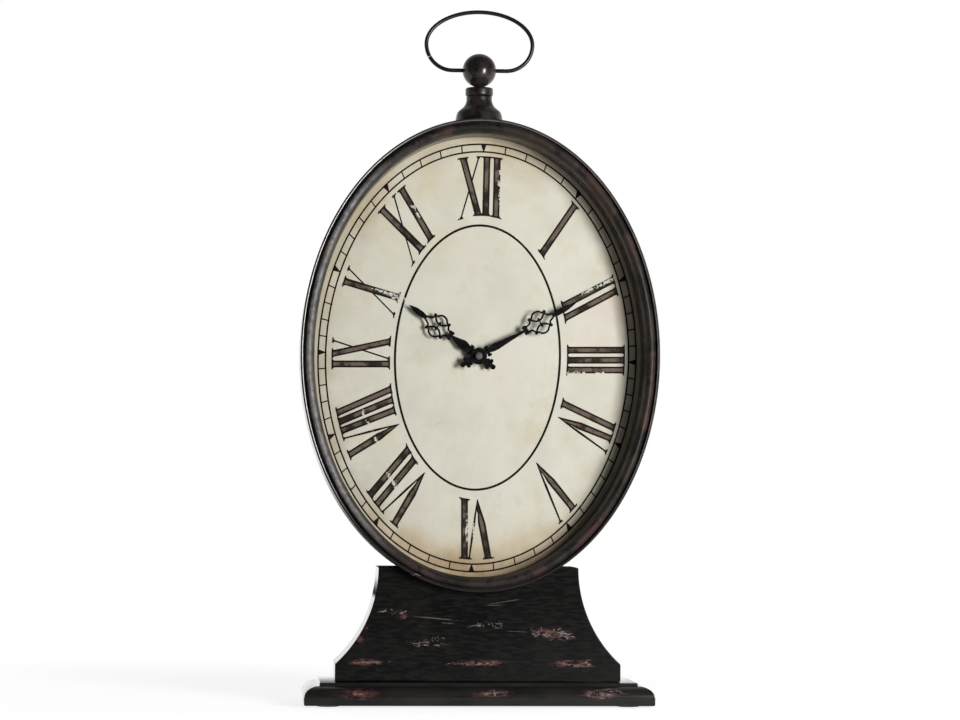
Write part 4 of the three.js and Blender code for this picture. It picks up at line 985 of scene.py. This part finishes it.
def v_foot_outline(bearing, thick, thin, shrink):
    """The solid lower part of a V: from the meeting of its strokes down to its point."""
    width, outer, inner = thick
    foot = on_oval(numeral_inner, bearing, inner) + v_core_sink * shrink
    top = on_oval(numeral_outer, bearing, outer)
    level = foot + (top - foot) * v_waist
    low = foot + (level - foot) * v_fork

    def lean(end, v):
        return inner + (end - inner) * (v - foot) / (top - foot)

    left = lean(outer - width / 2 + shrink, level)
    right = max(lean(outer + width / 2 - shrink, level), left + v_least)
    return [(left, level), (right, level), (lean(thin[1], low) - shrink, low), (inner, foot)]


def to_dial(bearing, across, along):
    """From a numeral's own axes to the dial, in metres."""
    sine, cosine = math.sin(bearing), math.cos(bearing)
    u, v = along * sine + across * cosine, along * cosine - across * sine
    sine, cosine = math.sin(print_turn), math.cos(print_turn)
    return ((numeral_middle[0] + u * cosine + v * sine) * mm,
            (numeral_middle[1] - u * sine + v * cosine) * mm)


def anticlockwise(outline):
    area = sum(a[0] * b[1] - b[0] * a[1] for a, b in zip(outline, outline[1:] + outline[:1]))
    return outline if area > 0 else outline[::-1]


def merge_outlines(outlines):
    """The union of several outlines as flat triangles: points and faces."""
    points = [Vector(p) for outline in outlines for p in anticlockwise(outline)]
    loops, start = [], 0
    for outline in outlines:
        loops.append(list(range(start, start + len(outline))))
        start += len(outline)
    flat, _, faces, _, _, covered = delaunay_2d_cdt(points, [], loops, 1, outline_merge)
    return [tuple(p) for p in flat], [tuple(f) for f, under in zip(faces, covered) if under]


def numeral_shapes(hour, shrink):
    """The outlines of one numeral in its own axes: all of it, or only what its rim encloses."""
    bearing = math.radians(30 * hour)
    strokes = hours[hour]
    v_strokes = pointed.get(hour, ())
    shapes = []
    for number, (width, outer, inner) in enumerate(strokes):
        if shrink and width == hair:
            continue
        draw = v_stroke_outline if number in v_strokes else stroke_outline
        shapes.append(draw(bearing, width, outer, inner, shrink))
        if not shrink:
            reach = width / 2 + serif_reach
            shapes.append(serif_outline(numeral_outer, bearing, outer, reach, 1))
            if number not in v_strokes:
                shapes.append(serif_outline(numeral_inner, bearing, inner, reach, -1))
    if v_strokes:
        thick, thin = (strokes[number] for number in v_strokes)
        shapes.append(v_foot_outline(bearing, thick, thin, shrink))
    return shapes


rim_ink = ink_finish("numeral_rim_ink", (0.012, 0.009, 0.007), (0.052, 0.040, 0.031),
                     260, 0.60, 0.85)
body_ink = ink_finish("numeral_body_ink", (0.024, 0.0175, 0.013), (0.146, 0.110, 0.086),
                      75, 0.40, 0.58)
for name, shrink, front, ink in (
    ("printed_hours_rim", 0, line_front, rim_ink),
    ("printed_hours_body", outline_width, line_front - body_lift, body_ink),
):
    figures = []
    for hour in hours:
        flat, faces = merge_outlines(numeral_shapes(hour, shrink))
        placed = [to_dial(math.radians(30 * hour), *point) for point in flat]
        figures.append(thick_sheet(placed, faces, front, ink_back))
    figure = make_piece(name, *gather(figures), ink, weld=thin_weld)
    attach(figure, "clock")

# ---- Neck and collar ----
# Turned metal with the case's patina: a bell-shaped neck, its foot shaped to sit on the band, and a
# plain collar with rounded edges on top of it, both held down by the ball's stud.
crown_y = -5
neck_sides = 96
neck_seat = 0.12
collar_radius = 12.7
collar_levels = (555.0, 562.7)
collar_ease = 1.9
turned_smooth = 50
neck_curve = [(22, 529.95), (21.6, 533.5), (21.0, 537), (20.2, 539.6), (18.6, 541.6),
              (16.2, 543.4), (14.2, 545.2), (12.7, 547.6), (11.9, 550.2), (11.7, 552.0),
              (11.9, 553.7), (11.7, 554.5), (11.0, 554.8), (3.6, 554.8)]


def case_top(x):
    """Height of the case's outside over a point across it, in mm."""
    return case_middle + case_half[1] * math.sqrt(1 - (x / case_half[0]) ** 2)


points, faces = turn_profile(neck_curve, neck_sides, (0, crown_y, 0))
low_ring = range(0, len(points), len(neck_curve))
for i in low_ring:
    x, y, _ = points[i]
    points[i] = (x, y, (case_top(x / mm) + neck_seat) * mm)
top_ring = range(len(neck_curve) - 1, len(points), len(neck_curve))
faces += [tuple(low_ring), tuple(reversed(top_ring))]
crown_bronze = bronze_finish("crown_bronze", 0.30, red_share=0.35)
neck = make_piece("neck_bell", points, faces, crown_bronze, turned_smooth)
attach(neck, "clock")
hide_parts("neck")
collar_profile = rounded([(0, collar_levels[0]), (collar_radius, collar_levels[0]),
                          (collar_radius, collar_levels[1]), (0, collar_levels[1])],
                         collar_ease, 5)
collar = make_piece("collar_plain", *turn_profile(collar_profile, neck_sides, (0, crown_y, 0)),
                    crown_bronze, turned_smooth)
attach(collar, "clock")
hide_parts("collar")

# ---- Ball ----
# A turned ball, drilled across for the wire of the bow and from below for its stud, and polished
# before it was patinated, so that it shines more than the case.
ball_radius = 15.5
ball_height = 578.8
wire_hole = 2.0
hole_ease = (0.25, 0.35)
ball_steps = 40
hole_edge = math.asin((wire_hole + hole_ease[0]) / ball_radius)
hole_end = ball_radius * math.cos(hole_edge) - hole_ease[1]
ball_profile = [(wire_hole, -hole_end)]
for step in range(ball_steps + 1):
    angle = hole_edge + (math.pi - 2 * hole_edge) * step / ball_steps
    ball_profile.append((ball_radius * math.sin(angle), -ball_radius * math.cos(angle)))
ball_profile += [(wire_hole, hole_end), (wire_hole, -hole_end)]
ball = make_piece("ball_polished", *turn_profile(ball_profile, neck_sides,
                  (0, crown_y, ball_height), "x"),
                  bronze_finish("polished_bronze", 0.16, red_share=0.25), turned_smooth)
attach(ball, "clock")
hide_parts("ball")

# ---- Bow ----
# One length of steel wire bent to a closed loop through the ball, with its ends butted at the
# lower left corner, and painted black.
wire_radius = 1.85
wire_sides = 20
bow_half_width = 48.8
corner_radius = 24.1
upper_rise = 29.9
joint_gap = 0.5
joint_bearing = 28
bow_waist = ball_height + corner_radius
corner_x = bow_half_width - corner_radius


def bow_path():
    """Points along the wire from one side of its joint to the other, (x, z) in mm."""
    joint = math.radians(180 + joint_bearing)
    first = joint + joint_gap / corner_radius

    def corner(side, angle):
        return (side * corner_x + corner_radius * math.cos(angle),
                bow_waist + corner_radius * math.sin(angle))

    def shares(count):
        return [i / count for i in range(count)]

    path = [corner(-1, first + (1.5 * math.pi - first) * s) for s in shares(16)]
    path += [(-corner_x + 2 * corner_x * s, ball_height) for s in shares(12)]
    path += [corner(1, 1.5 * math.pi + 0.5 * math.pi * s) for s in shares(20)]
    path += [(bow_half_width * math.cos(math.pi * s),
              bow_waist + upper_rise * math.sin(math.pi * s)) for s in shares(72)]
    path += [corner(-1, math.pi + (joint - math.pi) * s) for s in shares(8)]
    return path + [corner(-1, joint)]


def wire_tree():
    """Draws a round wire along a line of points, its ends closed."""
    tree, given = new_tree("wire_along_path", ("Radius",), ("Sides",))
    path = read(tree, "GeometryNodeMeshToCurve", {"Mesh": given["Geometry"]})
    section = read(tree, "GeometryNodeCurvePrimitiveCircle", {"Resolution": given["Sides"],
                   "Radius": given["Radius"]})
    wire = read(tree, "GeometryNodeCurveToMesh", {"Curve": path, "Profile Curve": section,
                "Fill Caps": True})
    return end_tree(wire, given["Finish"])


def cloudy_finish(name, grain, first, second, sockets):
    """Two close tones in small clouds, and nothing else."""
    finish, shader, place = new_finish(name)
    feed(shader, {"Base Color": mix(patches(place, *grain), first, second), **sockets})
    return finish


wire_path = bow_path()
path_mesh = new_mesh("bow_line", [(x * mm, crown_y * mm, z * mm) for x, z in wire_path],
                     [(i, i + 1) for i in range(len(wire_path) - 1)])
black_wire = cloudy_finish("black_wire", (90, 0.35, 0.7), (0.006, 0.0056, 0.0054),
                           (0.011, 0.010, 0.0095),
                           {"Roughness": 0.30, "Specular IOR Level": 0.35})
bow = grow("bow_wire", path_mesh, wire_tree(), {"Radius": wire_radius * mm, "Sides": wire_sides},
           black_wire, turned_smooth)
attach(bow, "bow")
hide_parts("bow")

# ---- Hands ----
# Stamped and pierced steel, blackened: a blade, a small cross bar, four cells of fine wire between
# pointed corners, and a leaf. The hour hand is pressed on its tube, the minute hand on its arbor.
hand_wire = 1.75
hand_hub = 7.6
hand_thickness = 0.8
hand_corner = (7.5, 6.7)
hand_loop = 10.3
hand_tail = 17.0
hand_ease = 0.12 * mm
blade_foot = 0.62
blade_end = 1.2
blade_swell = 7.5
leaf_widest = 5.2
hand_steps = 24
curve_steps = 7
tube_start = 0.4
tube_ease = 0.2
tube_sides = 48
hour_hand_sizes = {"length": 78.6, "bar": 30.6, "cells": 46.0, "blade": 4.5, "bearing": 306.0,
                   "front": -15.0, "bore": 2.7, "collet": (4.0, -12.9)}
minute_hand_sizes = {"length": 102.0, "bar": 47.8, "cells": 64.2, "blade": 3.4, "bearing": 60.9,
                     "front": -18.1, "bore": 1.75, "collet": (3.2, -16.5)}


def hand_finish():
    finish, shader, place = new_finish("blackened_steel")
    cloud = patches(place, 220, 0.35, 0.7)
    rub = patches(place, 900, 0.55, 0.8, 3)
    colour = layers(mix(cloud, (0.0028, 0.0026, 0.0024), (0.0055, 0.0050, 0.0045)),
                    (rub * 0.2, (0.02, 0.018, 0.016)))
    feed(shader, {"Base Color": colour, "Specular IOR Level": 0.2, "Roughness": cloud * 0.08 + 0.2})
    roughen(shader, rub, 0.02)
    return finish


def curve_points(anchors):
    """A smooth line through its anchors, as many points."""
    knots = [Vector(a) for a in anchors]
    knots = [knots[0] * 2 - knots[1], *knots, knots[-1] * 2 - knots[-2]]
    line = []
    for a, b, c, d in zip(knots, knots[1:], knots[2:], knots[3:]):
        for step in range(curve_steps):
            t = step / curve_steps
            line.append(0.5 * (2 * b + (c - a) * t + (2 * a - 5 * b + 4 * c - d) * t * t
                               + (3 * b - a - 3 * c + d) * t ** 3))
    return line + [knots[-2]]


def disc(centre, radius, sides=24):
    return [(centre[0] + radius * math.cos(2 * math.pi * i / sides),
             centre[1] + radius * math.sin(2 * math.pi * i / sides)) for i in range(sides)]


def ribbon(line, widths):
    """The outline of a line of varying width, as a run of overlapping quads."""
    line = [Vector(point) for point in line]
    pieces = []
    for (p, w), (q, v) in zip(zip(line, widths), zip(line[1:], widths[1:])):
        aside = Vector((p.y - q.y, q.x - p.x)).normalized()
        pieces.append([tuple(p - aside * w / 2), tuple(q - aside * v / 2),
                       tuple(q + aside * v / 2), tuple(p + aside * w / 2)])
        pieces.append(disc(p, w / 2, 10))
    return pieces


def wire(anchors):
    line = curve_points(anchors)
    return ribbon(line, [hand_wire] * len(line))


def hand_outlines(length, bar, cells, blade):
    """All of a hand's outlines but its hub, pointing up, in mm."""
    along, across = hand_corner
    low, high = cells - along, cells + along
    leaf = high + 6.6
    foot = hand_hub + 3.2
    shoulder = hand_loop - 0.9
    half = [
        *wire([(0.9, bar + 2.2), (2.5, bar + 3.6), (3.3, low - 2.0), (across, low)]),
        *wire([(across, low), (across + 0.5, low + 2.0), (shoulder, cells - 3.4),
               (hand_loop, cells - 1.2), (hand_loop, cells + 1.2), (shoulder, cells + 3.4),
               (across + 0.5, high - 2.0), (across, high)]),
        *wire([(across, low), (4.4, low + 2.2), (2.6, cells - 2.8), (2.0, cells),
               (2.6, cells + 2.8), (4.4, high - 2.2), (across, high)]),
        *wire([(across, high), (3.6, high + 1.0), (2.3, leaf - 3.0), (0.9, leaf)]),
        disc((across + 0.35, low - 0.35), 1.45, 12), disc((across + 0.35, high + 0.35), 1.45, 12),
        disc((3.5, cells), 1.15, 12), disc((2.9, bar + 0.3), 1.45, 12),
        disc((2.9, bar + 2.3), 1.35, 12), disc((3.7, foot - 1.9), 1.5, 12),
        disc((4.2, foot - 0.2), 1.0, 12), disc((3.5, -12.2), 1.9, 14), disc((2.6, -9.4), 1.6, 12),
    ]
    shapes = half + [[(-x, y) for x, y in reversed(shape)] for shape in half]
    for start, end, widths in (
        ((-3.5, cells), (3.5, cells), (1.25, 1.25)),
        ((-2.9, bar + 1.3), (2.9, bar + 1.3), (3.2, 3.2)),
        ((0, bar), (0, bar + 3.4), (3.4, 2.6)),
        ((-3.7, foot - 1.5), (3.7, foot - 1.5), (3.0, 3.0)),
        ((-3.5, -12.2), (3.5, -12.2), (3.4, 3.4)),
    ):
        shapes += ribbon([start, end], widths)
    swell = min(0.42, blade_swell / (bar - foot))
    spine, blade_widths, tip_line, tip_widths = [], [], [], []
    for i in range(hand_steps + 1):
        share = i / hand_steps
        spine.append((0, foot + (bar - foot) * i / hand_steps))
        if share < swell:
            rise = math.sin(math.pi / 2 * i / hand_steps / swell)
            blade_widths.append(2 * (blade * (blade_foot + (1 - blade_foot) * rise)))
        else:
            fall = (1 - (share - swell) / (1 - swell)) ** 1.25
            blade_widths.append(2 * (blade_end + (blade - blade_end) * fall))
        tip_line.append((0, leaf - 0.6 + (length - leaf + 0.6) * i / hand_steps))
        if i < hand_steps / 2:
            width = 1.9 + 3.5 * math.sin(math.pi * share ** 0.62) ** 1.2
        else:
            width = 5.3 * (1 - ((i - 10) / (hand_steps - 10)) ** 1.5) + 0.2
        tip_widths.append(min(width, leaf_widest))
    shapes += ribbon([(0, foot - 4), *spine], [2 * blade * blade_foot, *blade_widths])
    shapes += ribbon(tip_line, tip_widths)
    shapes += ribbon([(0, -hand_hub + 2), (0, -hand_tail + 0.6)], [6.4, 3.8])
    return [*shapes, disc((0, -hand_tail + 0.5), 2.4, 18)]


def annulus(inner, outer):
    """A ring as quads, so that its hole stays open."""
    spots = disc((0, 0), 1, tube_sides)
    return [[(inner * a[0], inner * a[1]), (outer * a[0], outer * a[1]),
             (outer * b[0], outer * b[1]), (inner * b[0], inner * b[1])]
            for a, b in zip(spots, spots[1:] + spots[:1])]


def build_hand(name, finish, length, bar, cells, blade, bearing, front, bore, collet):
    """A pierced hand at its bearing, with the short tube that it is pressed on by."""
    outlines = hand_outlines(length, bar, cells, blade) + annulus(bore, hand_hub)
    points, faces = merge_outlines(outlines)
    sine, cosine = math.sin(math.radians(bearing)), math.cos(math.radians(bearing))
    placed = [((x * cosine + y * sine) * mm, (case_middle - x * sine + y * cosine) * mm)
              for x, y in points]
    flat = thick_sheet(placed, faces, front, front + hand_thickness)
    radius, back = collet
    tube = rounded([(bore, front + tube_start), (radius, front + tube_start), (radius, back),
                    (bore, back)], tube_ease)
    tube = turn_profile([*tube, tube[0]], tube_sides, (0, 0, case_middle), "y")
    hand = make_piece(name, *gather([flat, tube]), finish, weld=thin_weld)
    ease_edges(hand, hand_ease, 2, 60)
    return hand


blackened_steel = hand_finish()
hour_hand = build_hand("hour_hand_pierced", blackened_steel, **hour_hand_sizes)
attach(hour_hand, "hour")
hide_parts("hour_hand")
minute_hand = build_hand("minute_hand_pierced", blackened_steel, **minute_hand_sizes)
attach(minute_hand, "minute")
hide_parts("minute_hand")

# ---- Cap nut ----
# A small turned nut of dull grey steel, closed and slightly domed in front, screwed on the end of
# the minute arbor to hold the hands.
nut_radius = 3.4
nut_bore = 1.75
nut_front = -22.7
nut_back = -18.4
nut_floor = -21.1
nut_dome = [(0, 0), (1.2, 0.03), (2.1, 0.16), (2.8, 0.42), (3.25, 0.9), (nut_radius, 1.4)]
nut_profile = [(radius, nut_front + drop) for radius, drop in nut_dome]
nut_profile += [(nut_radius, nut_back - 0.25), (nut_radius - 0.2, nut_back), (nut_bore, nut_back),
                (nut_bore, nut_floor), (0, nut_floor)]
cap_nut = make_piece("cap_nut", *turn_profile(nut_profile, tube_sides, (0, 0, case_middle), "y"),
                     cloudy_finish("dull_steel", (700, 0.3, 0.7), (0.055, 0.054, 0.052),
                                   (0.10, 0.097, 0.093), {"Metallic": 0.2, "Roughness": 0.6}), 40)
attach(cap_nut, "minute")
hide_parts("hand_nut")

# ---- Back panel and its screws ----
# A sheet of pressed fibre board cut to the case, with a rounded square opening for the hand, held
# to the back ring by four plated pan-head screws.
panel_front = 38.3
panel_back = 40.7
panel_inset = 4
panel_ease = 0.35 * mm
opening_half = 52
opening_corner = 10
screw_across = 109.0
screw_up = 145.35
screw_seat = 0.1
screw_sizes = {"Head radius": 3.2, "Head height": 1.9, "Shaft radius": 1.5, "Shaft length": 9.0,
               "Recess width": 0.85, "Recess length": 3.7, "Recess depth": 0.9}


def board_finish():
    """Brown pressed board: short matted fibres and a few dark ones."""
    finish, shader, place = new_finish("fibre_board")
    matted = stretched(place, (1, 1, 0.3))
    fibres = patches(matted, 900, 0.35, 0.65, 4, 0.65)
    dark = patches(matted, 520, 0.64, 0.72, 3, 0.6, (0.3, 0, 0))
    colour = layers(mix(patches(place, 26, 0.3, 0.7, 4, 0.6), (0.100, 0.064, 0.039),
                        (0.150, 0.100, 0.063)),
                    (fibres * 0.45, (0.200, 0.140, 0.090)), (dark * 0.7, (0.045, 0.028, 0.018)))
    feed(shader, {"Base Color": colour, "Roughness": 0.78, "Specular IOR Level": 0.3})
    roughen(shader, fibres, 0.10)
    return finish


def opening_reach(angle):
    """How far a rounded square's edge lies from its middle, in mm, seen at an angle."""
    way = Vector((abs(math.sin(angle)), abs(math.cos(angle))))
    flat = opening_half / max(way)
    inner = opening_half - opening_corner
    if min(way * flat) <= inner:
        return flat
    centre = Vector((inner, inner))
    along = way.dot(centre)
    return along + math.sqrt(along ** 2 - centre.length_squared + opening_corner ** 2)


def panel_shape():
    """The board as a strip from its opening to its rim, front and back."""
    half_x, half_z = (half - panel_inset for half in case_half)
    points, faces = [], []
    for y in (panel_front, panel_back):
        for i in range(oval_sides):
            angle = 2 * math.pi * i / oval_sides
            across, up = math.sin(angle), math.cos(angle)
            rim = 1 / math.hypot(across / half_x, up / half_z)
            for length in (opening_reach(angle), rim):
                points.append((length * across * mm, y * mm, (case_middle + length * up) * mm))
    back = 2 * oval_sides
    for i in range(oval_sides):
        a, b = 2 * i, 2 * ((i + 1) % oval_sides)
        faces += [(a, b, b + 1, a + 1), (back + a, back + a + 1, back + b + 1, back + b),
                  (a, back + a, back + b, b), (a + 1, b + 1, back + b + 1, back + a + 1)]
    return points, faces


def moved(shape, **how):
    """A shape moved, turned or stretched in a tree."""
    return read(shape.tree, "GeometryNodeTransform", {"Geometry": shape, **how})


def cross_screw_tree():
    """Sets a pan-head screw with a cross recess on each point, its head towards the back."""
    tree, given = new_tree("cross_head_screws", screw_sizes)
    head, height, length = (given[name] for name in ("Head radius", "Head height",
                                                     "Shaft length"))

    def block(x, y, z, up):
        cube = read(tree, "GeometryNodeMeshCube", {"Size": combined(tree, x, y, z)})
        return moved(cube, Translation=combined(tree, 0.0, 0.0, up))

    ball = read(tree, "GeometryNodeMeshUVSphere", {"Segments": 40, "Rings": 20, "Radius": 1.0})
    dome = moved(ball, Scale=combined(tree, head, head, height))
    twice, wide = given["Recess depth"] * 2.0, head * 4.0
    cutters = [block(given["Recess length"], given["Recess width"], twice, height),
               block(given["Recess width"], given["Recess length"], twice, height),
               block(wide, wide, wide, wide * -0.5)]
    cut = add_node(tree, "GeometryNodeMeshBoolean", {"Mesh 1": dome}, operation="DIFFERENCE")
    for cutter in reversed(cutters):
        feed(cut, {"Mesh 2": cutter})
    shaft = read(tree, "GeometryNodeMeshCylinder", {
        "Vertices": 24, "Radius": given["Shaft radius"], "Depth": length})
    sunk = moved(shaft, Translation=combined(tree, 0.0, 0.0, length * -0.499))
    whole = add_node(tree, "GeometryNodeJoinGeometry")
    for shape in (Reading(cut), sunk):
        feed(whole, {0: shape})
    turned = moved(Reading(whole), Rotation=(-math.pi / 2, 0, 0))
    return end_tree(read(tree, "GeometryNodeInstanceOnPoints", {
        "Points": given["Geometry"], "Instance": turned}), given["Finish"])


def screw_finish():
    """Bright zinc plating, a little clouded."""
    finish, shader, place = new_finish("zinc_plate")
    cloud = patches(place, 900, 0.3, 0.7, 4, 0.6)
    feed(shader, {"Base Color": mix(cloud, (0.42, 0.42, 0.43), (0.60, 0.60, 0.59)),
         "Metallic": 1.0, "Roughness": cloud * 0.15 + 0.22})
    return finish


fibre_board = board_finish()
panel = make_piece("back_panel_board", *panel_shape(), fibre_board)
ease_edges(panel, panel_ease, 2, 60)
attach(panel, "clock")
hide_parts("back_panel")
screw_points = new_mesh("panel_screw_points", [
    (x * mm, (panel_back + screw_seat) * mm, (case_middle + up) * mm)
    for x in (-screw_across, screw_across) for up in (-screw_up, screw_up)])
panel_screws = grow("panel_screws", screw_points, cross_screw_tree(), {
    name: size * mm for name, size in screw_sizes.items()}, screw_finish(), 30)
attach(panel_screws, "clock")
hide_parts(*[f"back_panel_screw_{i}" for i in range(1, 5)])

# ---- Setting knob's ribs ----
# The round knob on the movement's back is moulded in black plastic, with small upright ribs round
# its edge for the fingers.
knob_place = (-21.25, 20.6, 316.0)
knob_sizes = {"Knob radius": 6.2, "Rib radius": 0.42, "Rib length": 2.9}
rib_count = 26


def rib_tree():
    """Sets upright ribs evenly round a circle."""
    tree, given = new_tree("ribs_round_knob", knob_sizes, ("Ribs",))
    rib = read(tree, "GeometryNodeMeshCylinder", {
        "Vertices": 12, "Radius": given["Rib radius"], "Depth": given["Rib length"]})
    circle = read(tree, "GeometryNodeMeshCircle", {"Vertices": given["Ribs"],
                  "Radius": given["Knob radius"]})
    ribs = read(tree, "GeometryNodeInstanceOnPoints", {"Points": circle, "Instance": rib})
    upright = moved(ribs, Rotation=(math.pi / 2, 0, 0))
    return end_tree(read(tree, "GeometryNodeInstanceOnPoints", {
        "Points": given["Geometry"], "Instance": upright}), given["Finish"])


def plain_finish(name, first, second, grain, roughness, metal=0.0, stretch=(1, 1, 1), tooth=0.03):
    """Two close tones in clouds of a grain, and a fine tooth."""
    finish, shader, place = new_finish(name)
    cloud = patches(stretched(place, stretch), grain, 0.3, 0.7, 4, 0.6)
    feed(shader, {"Base Color": mix(cloud, first, second), "Roughness": cloud * 0.12 + roughness,
         "Metallic": metal})
    roughen(shader, cloud, tooth)
    return finish


black_plastic = plain_finish("black_plastic", (0.012, 0.012, 0.013), (0.022, 0.022, 0.023), 1500,
                             0.38, tooth=0.05)
knob_point = new_mesh("knob_point", [[value * mm for value in knob_place]])
ribs = grow("knob_ribs", knob_point, rib_tree(), {
    **{name: size * mm for name, size in knob_sizes.items()}, "Ribs": rib_count},
    black_plastic, turned_smooth)
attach(ribs, "knob")

# ---- Plain parts ----
# What stays as it was drawn: screws, bolts and nuts of plated steel, turned brass, boards of
# pressed fibre, black and white plastic, rubber, copper wire, the printed circuit and the cell.
sleeve_band = (9.9, 10.0)
sleeve_line = (9.1, 9.2)
can_end = (24.0, 24.1)


def cell_finish():
    """A printed sleeve, dark blue with a copper band at one end, on a steel can."""
    finish, shader, place = new_finish("cell_sleeve")
    across = xyz(place)[0]
    band = fade(across, *sleeve_band, mm)
    line = fade(across, *sleeve_line, mm) * (1.0 - band)
    bare = fade(maths("ABSOLUTE", across), *can_end, mm)
    colour = layers(mix(patches(place, 300, 0.3, 0.7), (0.012, 0.020, 0.060),
                        (0.020, 0.034, 0.090)),
                    (band, (0.46, 0.20, 0.07)), (line, (0.55, 0.55, 0.53)),
                    (bare, (0.55, 0.55, 0.55)))
    feed(shader, {"Base Color": colour, "Roughness": 0.25, "Metallic": larger(band * 0.7, bare)})
    return finish


for finish, nodes in (
    (fibre_board, ("saddle_board", "dial_board")),
    (plain_finish("plated_steel", (0.36, 0.36, 0.37), (0.52, 0.52, 0.52), 500, 0.28, 1.0),
     ("plinth_screw_1", "plinth_screw_2", "plinth_screw_3", "plinth_screw_4", "case_bolt_1",
      "case_bolt_2", "case_nut_1", "case_nut_2", "pendant_stud", "stud_nut", "dial_washer",
      "stator", "battery_contact_positive", "battery_contact_negative", "quartz_crystal")),
    (plain_finish("turned_brass", (0.42, 0.29, 0.11), (0.58, 0.42, 0.18), 600, 0.25, 1.0),
     ("minute_arbor", "dial_nut")),
    (plain_finish("soft_rubber", (0.012, 0.012, 0.012), (0.022, 0.021, 0.020), 900, 0.8,
                  tooth=0.08), ("rubber_washer",)),
    (black_plastic, ("movement_front_shell", "movement_rear_cover", "setting_knob")),
    (plain_finish("white_plastic", (0.66, 0.66, 0.64), (0.74, 0.74, 0.71), 700, 0.4),
     ("hour_wheel", "intermediate_wheel", "centre_wheel", "third_wheel", "seconds_wheel",
      "step_wheel")),
    (plain_finish("sintered_magnet", (0.05, 0.05, 0.055), (0.085, 0.085, 0.09), 900, 0.45, 0.6),
     ("rotor",)),
    (plain_finish("copper_wire", (0.46, 0.15, 0.055), (0.66, 0.27, 0.12), 3000, 0.3, 1.0,
                  stretch=(1, 0.1, 0.1), tooth=0.08), ("coil",)),
    (plain_finish("circuit_green", (0.010, 0.060, 0.028), (0.022, 0.105, 0.050), 380, 0.35),
     ("circuit_board",)),
    (cell_finish(), ("battery",)),
):
    for name in nodes:
        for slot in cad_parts[name].material_slots:
            slot.material = finish
